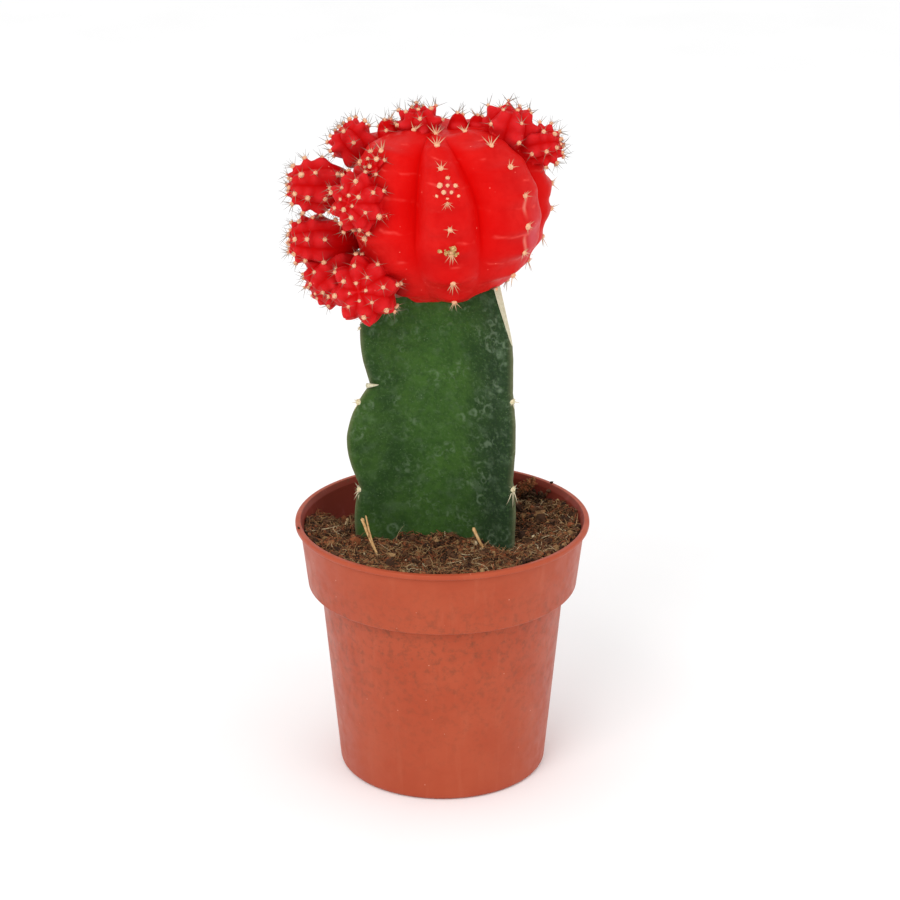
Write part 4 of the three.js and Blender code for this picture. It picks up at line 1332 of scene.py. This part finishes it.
# Single fibres: start, the point that it bends towards, end, radius and tone.
STRANDS = [
    ((24.6, -2.6, 47.2), (25.3, 0.5, 48.4), (25.5, 3.2, 49.0), 0.13, 0.84),
    ((18.5, -3.1, 46.2), (20.5, -3.0, 47.6), (22.5, -7.0, 47.3), 0.09, 0.97),
    ((20.0, 15.3, 47.2), (20.2, 15.6, 48.0), (20.5, 15.6, 48.9), 0.11, 0.42),
    ((-8.7, 0.3, 44.2), (-8.5, 0.6, 46.0), (-7.0, 1.0, 47.3), 0.06, 0.9),
    ((5.6, -11.3, 45.5), (9.0, -10.5, 46.2), (12.6, -7.8, 45.4), 0.07, 0.97),
    ((-22.5, -2.0, 47.6), (-20.5, -2.5, 48.0), (-19.0, 1.5, 47.2), 0.09, 0.95),
    ((1.0, -15.0, 46.3), (3.5, -15.5, 47.0), (5.0, -12.5, 46.3), 0.08, 0.9),
]


# Clusters of crumbs that lie against the wall: the two ends of each, its width, crumbs and tone.
CLUSTERS = [
    ((14.9, 19.0, 47.2), (17.7, 17.8, 48.9), 0.5, 110, 0.5),
    ((13.5, 19.5, 46.0), (20.0, 15.5, 47.2), 0.6, 90, 0.12),
]


def make_soil_details():
    rows = [np.array(BITS)]
    for start, end, width, count, tone in CLUSTERS:
        share = rng.uniform(size=(count, 1))
        spots = np.array(start) * (1 - share) + np.array(end) * share + rng.normal(0, width, (count, 3))
        keep_inside(spots, 0.5)
        tones = np.clip(tone + rng.normal(0, 0.05, count), 0, 1)
        rows.append(np.column_stack([spots, rng.uniform(0.2, 0.45, count), tones]))
    rows = np.vstack(rows)
    lumps("soil_bits", rows[:, :3], rows[:, 3], rows[:, 4], 0.25, 71)
    start, pull, end, radii, tones = (np.array(column) for column in zip(*STRANDS))
    lengths = np.linalg.norm(2 * (pull - start), axis=1)
    bends = (start - 2 * pull + end) / lengths[:, None]
    way = pull - start
    needles("soil_strands", start, way, lengths, radii, bends, "soil", "soil", segments=8, tone=tones)


def make_splinters():
    steps, sides = 14, 8
    t = np.linspace(0, 1, steps)
    turn = circle(sides)
    round_edge = np.column_stack([np.cos(turn) * 2, np.sin(turn) * 2])
    for i, (foot, tip, thin, thick) in enumerate(SPLINTERS):
        foot, tip = np.array(foot), np.array(tip)
        length = np.linalg.norm(tip - foot)
        way = unit(tip - foot)
        a, b = basis(way[None])
        centres = foot + way * (t * length)[:, None] + a * (0.3 * np.sin(np.pi * t))[:, None]
        knots = 1 + 0.12 * noise(np.column_stack([t * 9, t * 0 + i, t * 0]), 1, 51)
        width = (thin + (thick - thin) * t) * knots
        edge = 1 + 0.2 * noise(np.column_stack([round_edge, turn * 0 + i]), 0.9, 52)
        rows = tubes(centres, a, b, width[:, None] * edge, sides, (1, 0.55))
        points, faces = loft(list(rows), foot - way * 0.2, tip + way * 0.3)
        piece = mesh_object(f"splinter_{i + 1}", points, faces, ["straw"])
        outward_faces(piece)
        finish_piece(piece, "soil")


# ---- floor, light and camera


FLOOR = 3000  # half the width of the floor
LIGHT_SIZE = 0.6  # in metres, as the lights' places are


def make_stage():
    corners = [(-FLOOR, -FLOOR, 0), (FLOOR, -FLOOR, 0), (FLOOR, FLOOR, 0), (-FLOOR, FLOOR, 0)]
    floor = mesh_object("floor", corners, [(0, 1, 2, 3)], ["floor"])
    world = bpy.data.worlds.new("studio")
    bpy.context.scene.world = world
    world.use_nodes = True
    world.node_tree.nodes["Background"].inputs["Color"].default_value = (1, 1, 1, 1)
    world.node_tree.nodes["Background"].inputs["Strength"].default_value = 0.95
    area_light("key", (-0.35, -0.75, 0.75), 4.0)
    area_light("fill", (0.65, -0.55, 0.4), 1.0)
    bpy.context.scene.view_settings.view_transform = "Standard"


def area_light(name, place, power):
    """A round soft light that faces the middle of the plant."""
    data = bpy.data.lights.new(name, "AREA")
    data.shape = "DISK"
    data.size = LIGHT_SIZE
    data.energy = power
    light = bpy.data.objects.new(name, data)
    light.location = place
    aim = Vector((0, 0, 0.07)) - Vector(place)
    light.rotation_euler = aim.to_track_quat("-Z", "Y").to_euler()
    bpy.context.scene.collection.objects.link(light)


CAMERA = SimpleNamespace(elevation=21.24, distance=520, target=(1.43, 0, 62.7), focal_px=2806, frame_px=900)


def make_camera():
    data = bpy.data.cameras.new("camera")
    data.sensor_width = 36
    data.lens = CAMERA.focal_px / CAMERA.frame_px * data.sensor_width
    data.clip_start = 0.01
    camera = bpy.data.objects.new("camera", data)
    elevation = math.radians(CAMERA.elevation)
    target = Vector(CAMERA.target) * MM
    back = Vector((0, -math.cos(elevation), math.sin(elevation))) * CAMERA.distance * MM
    camera.location = target + back
    camera.rotation_euler = (-back).to_track_quat("-Z", "Y").to_euler()
    bpy.context.scene.collection.objects.link(camera)
    bpy.context.scene.camera = camera


# ---- everything

make_camera()
make_stage()
make_pot()
make_soil_bed()
make_crumbs("soil_crumbs", 9000, 0.24, 0.3, CRUMB_SHARES, 41)
make_crumbs("soil_lumps", 900, 0.5, 0.05, LUMP_SHARES, 43)
make_fibres("soil_fibres", 6000, (0.8, 3.4), (0.05, 0.11), FIBRE_SHARES, 61)
make_fibres("soil_pale_fibres", 60, (2.5, 6), (0.04, 0.08), PALE_SHARES, 62)
make_soil_details()
make_splinters()
make_stem()
make_stem_areoles()
make_wedge_scar()
make_flesh()
make_areoles()
make_dried_flower()
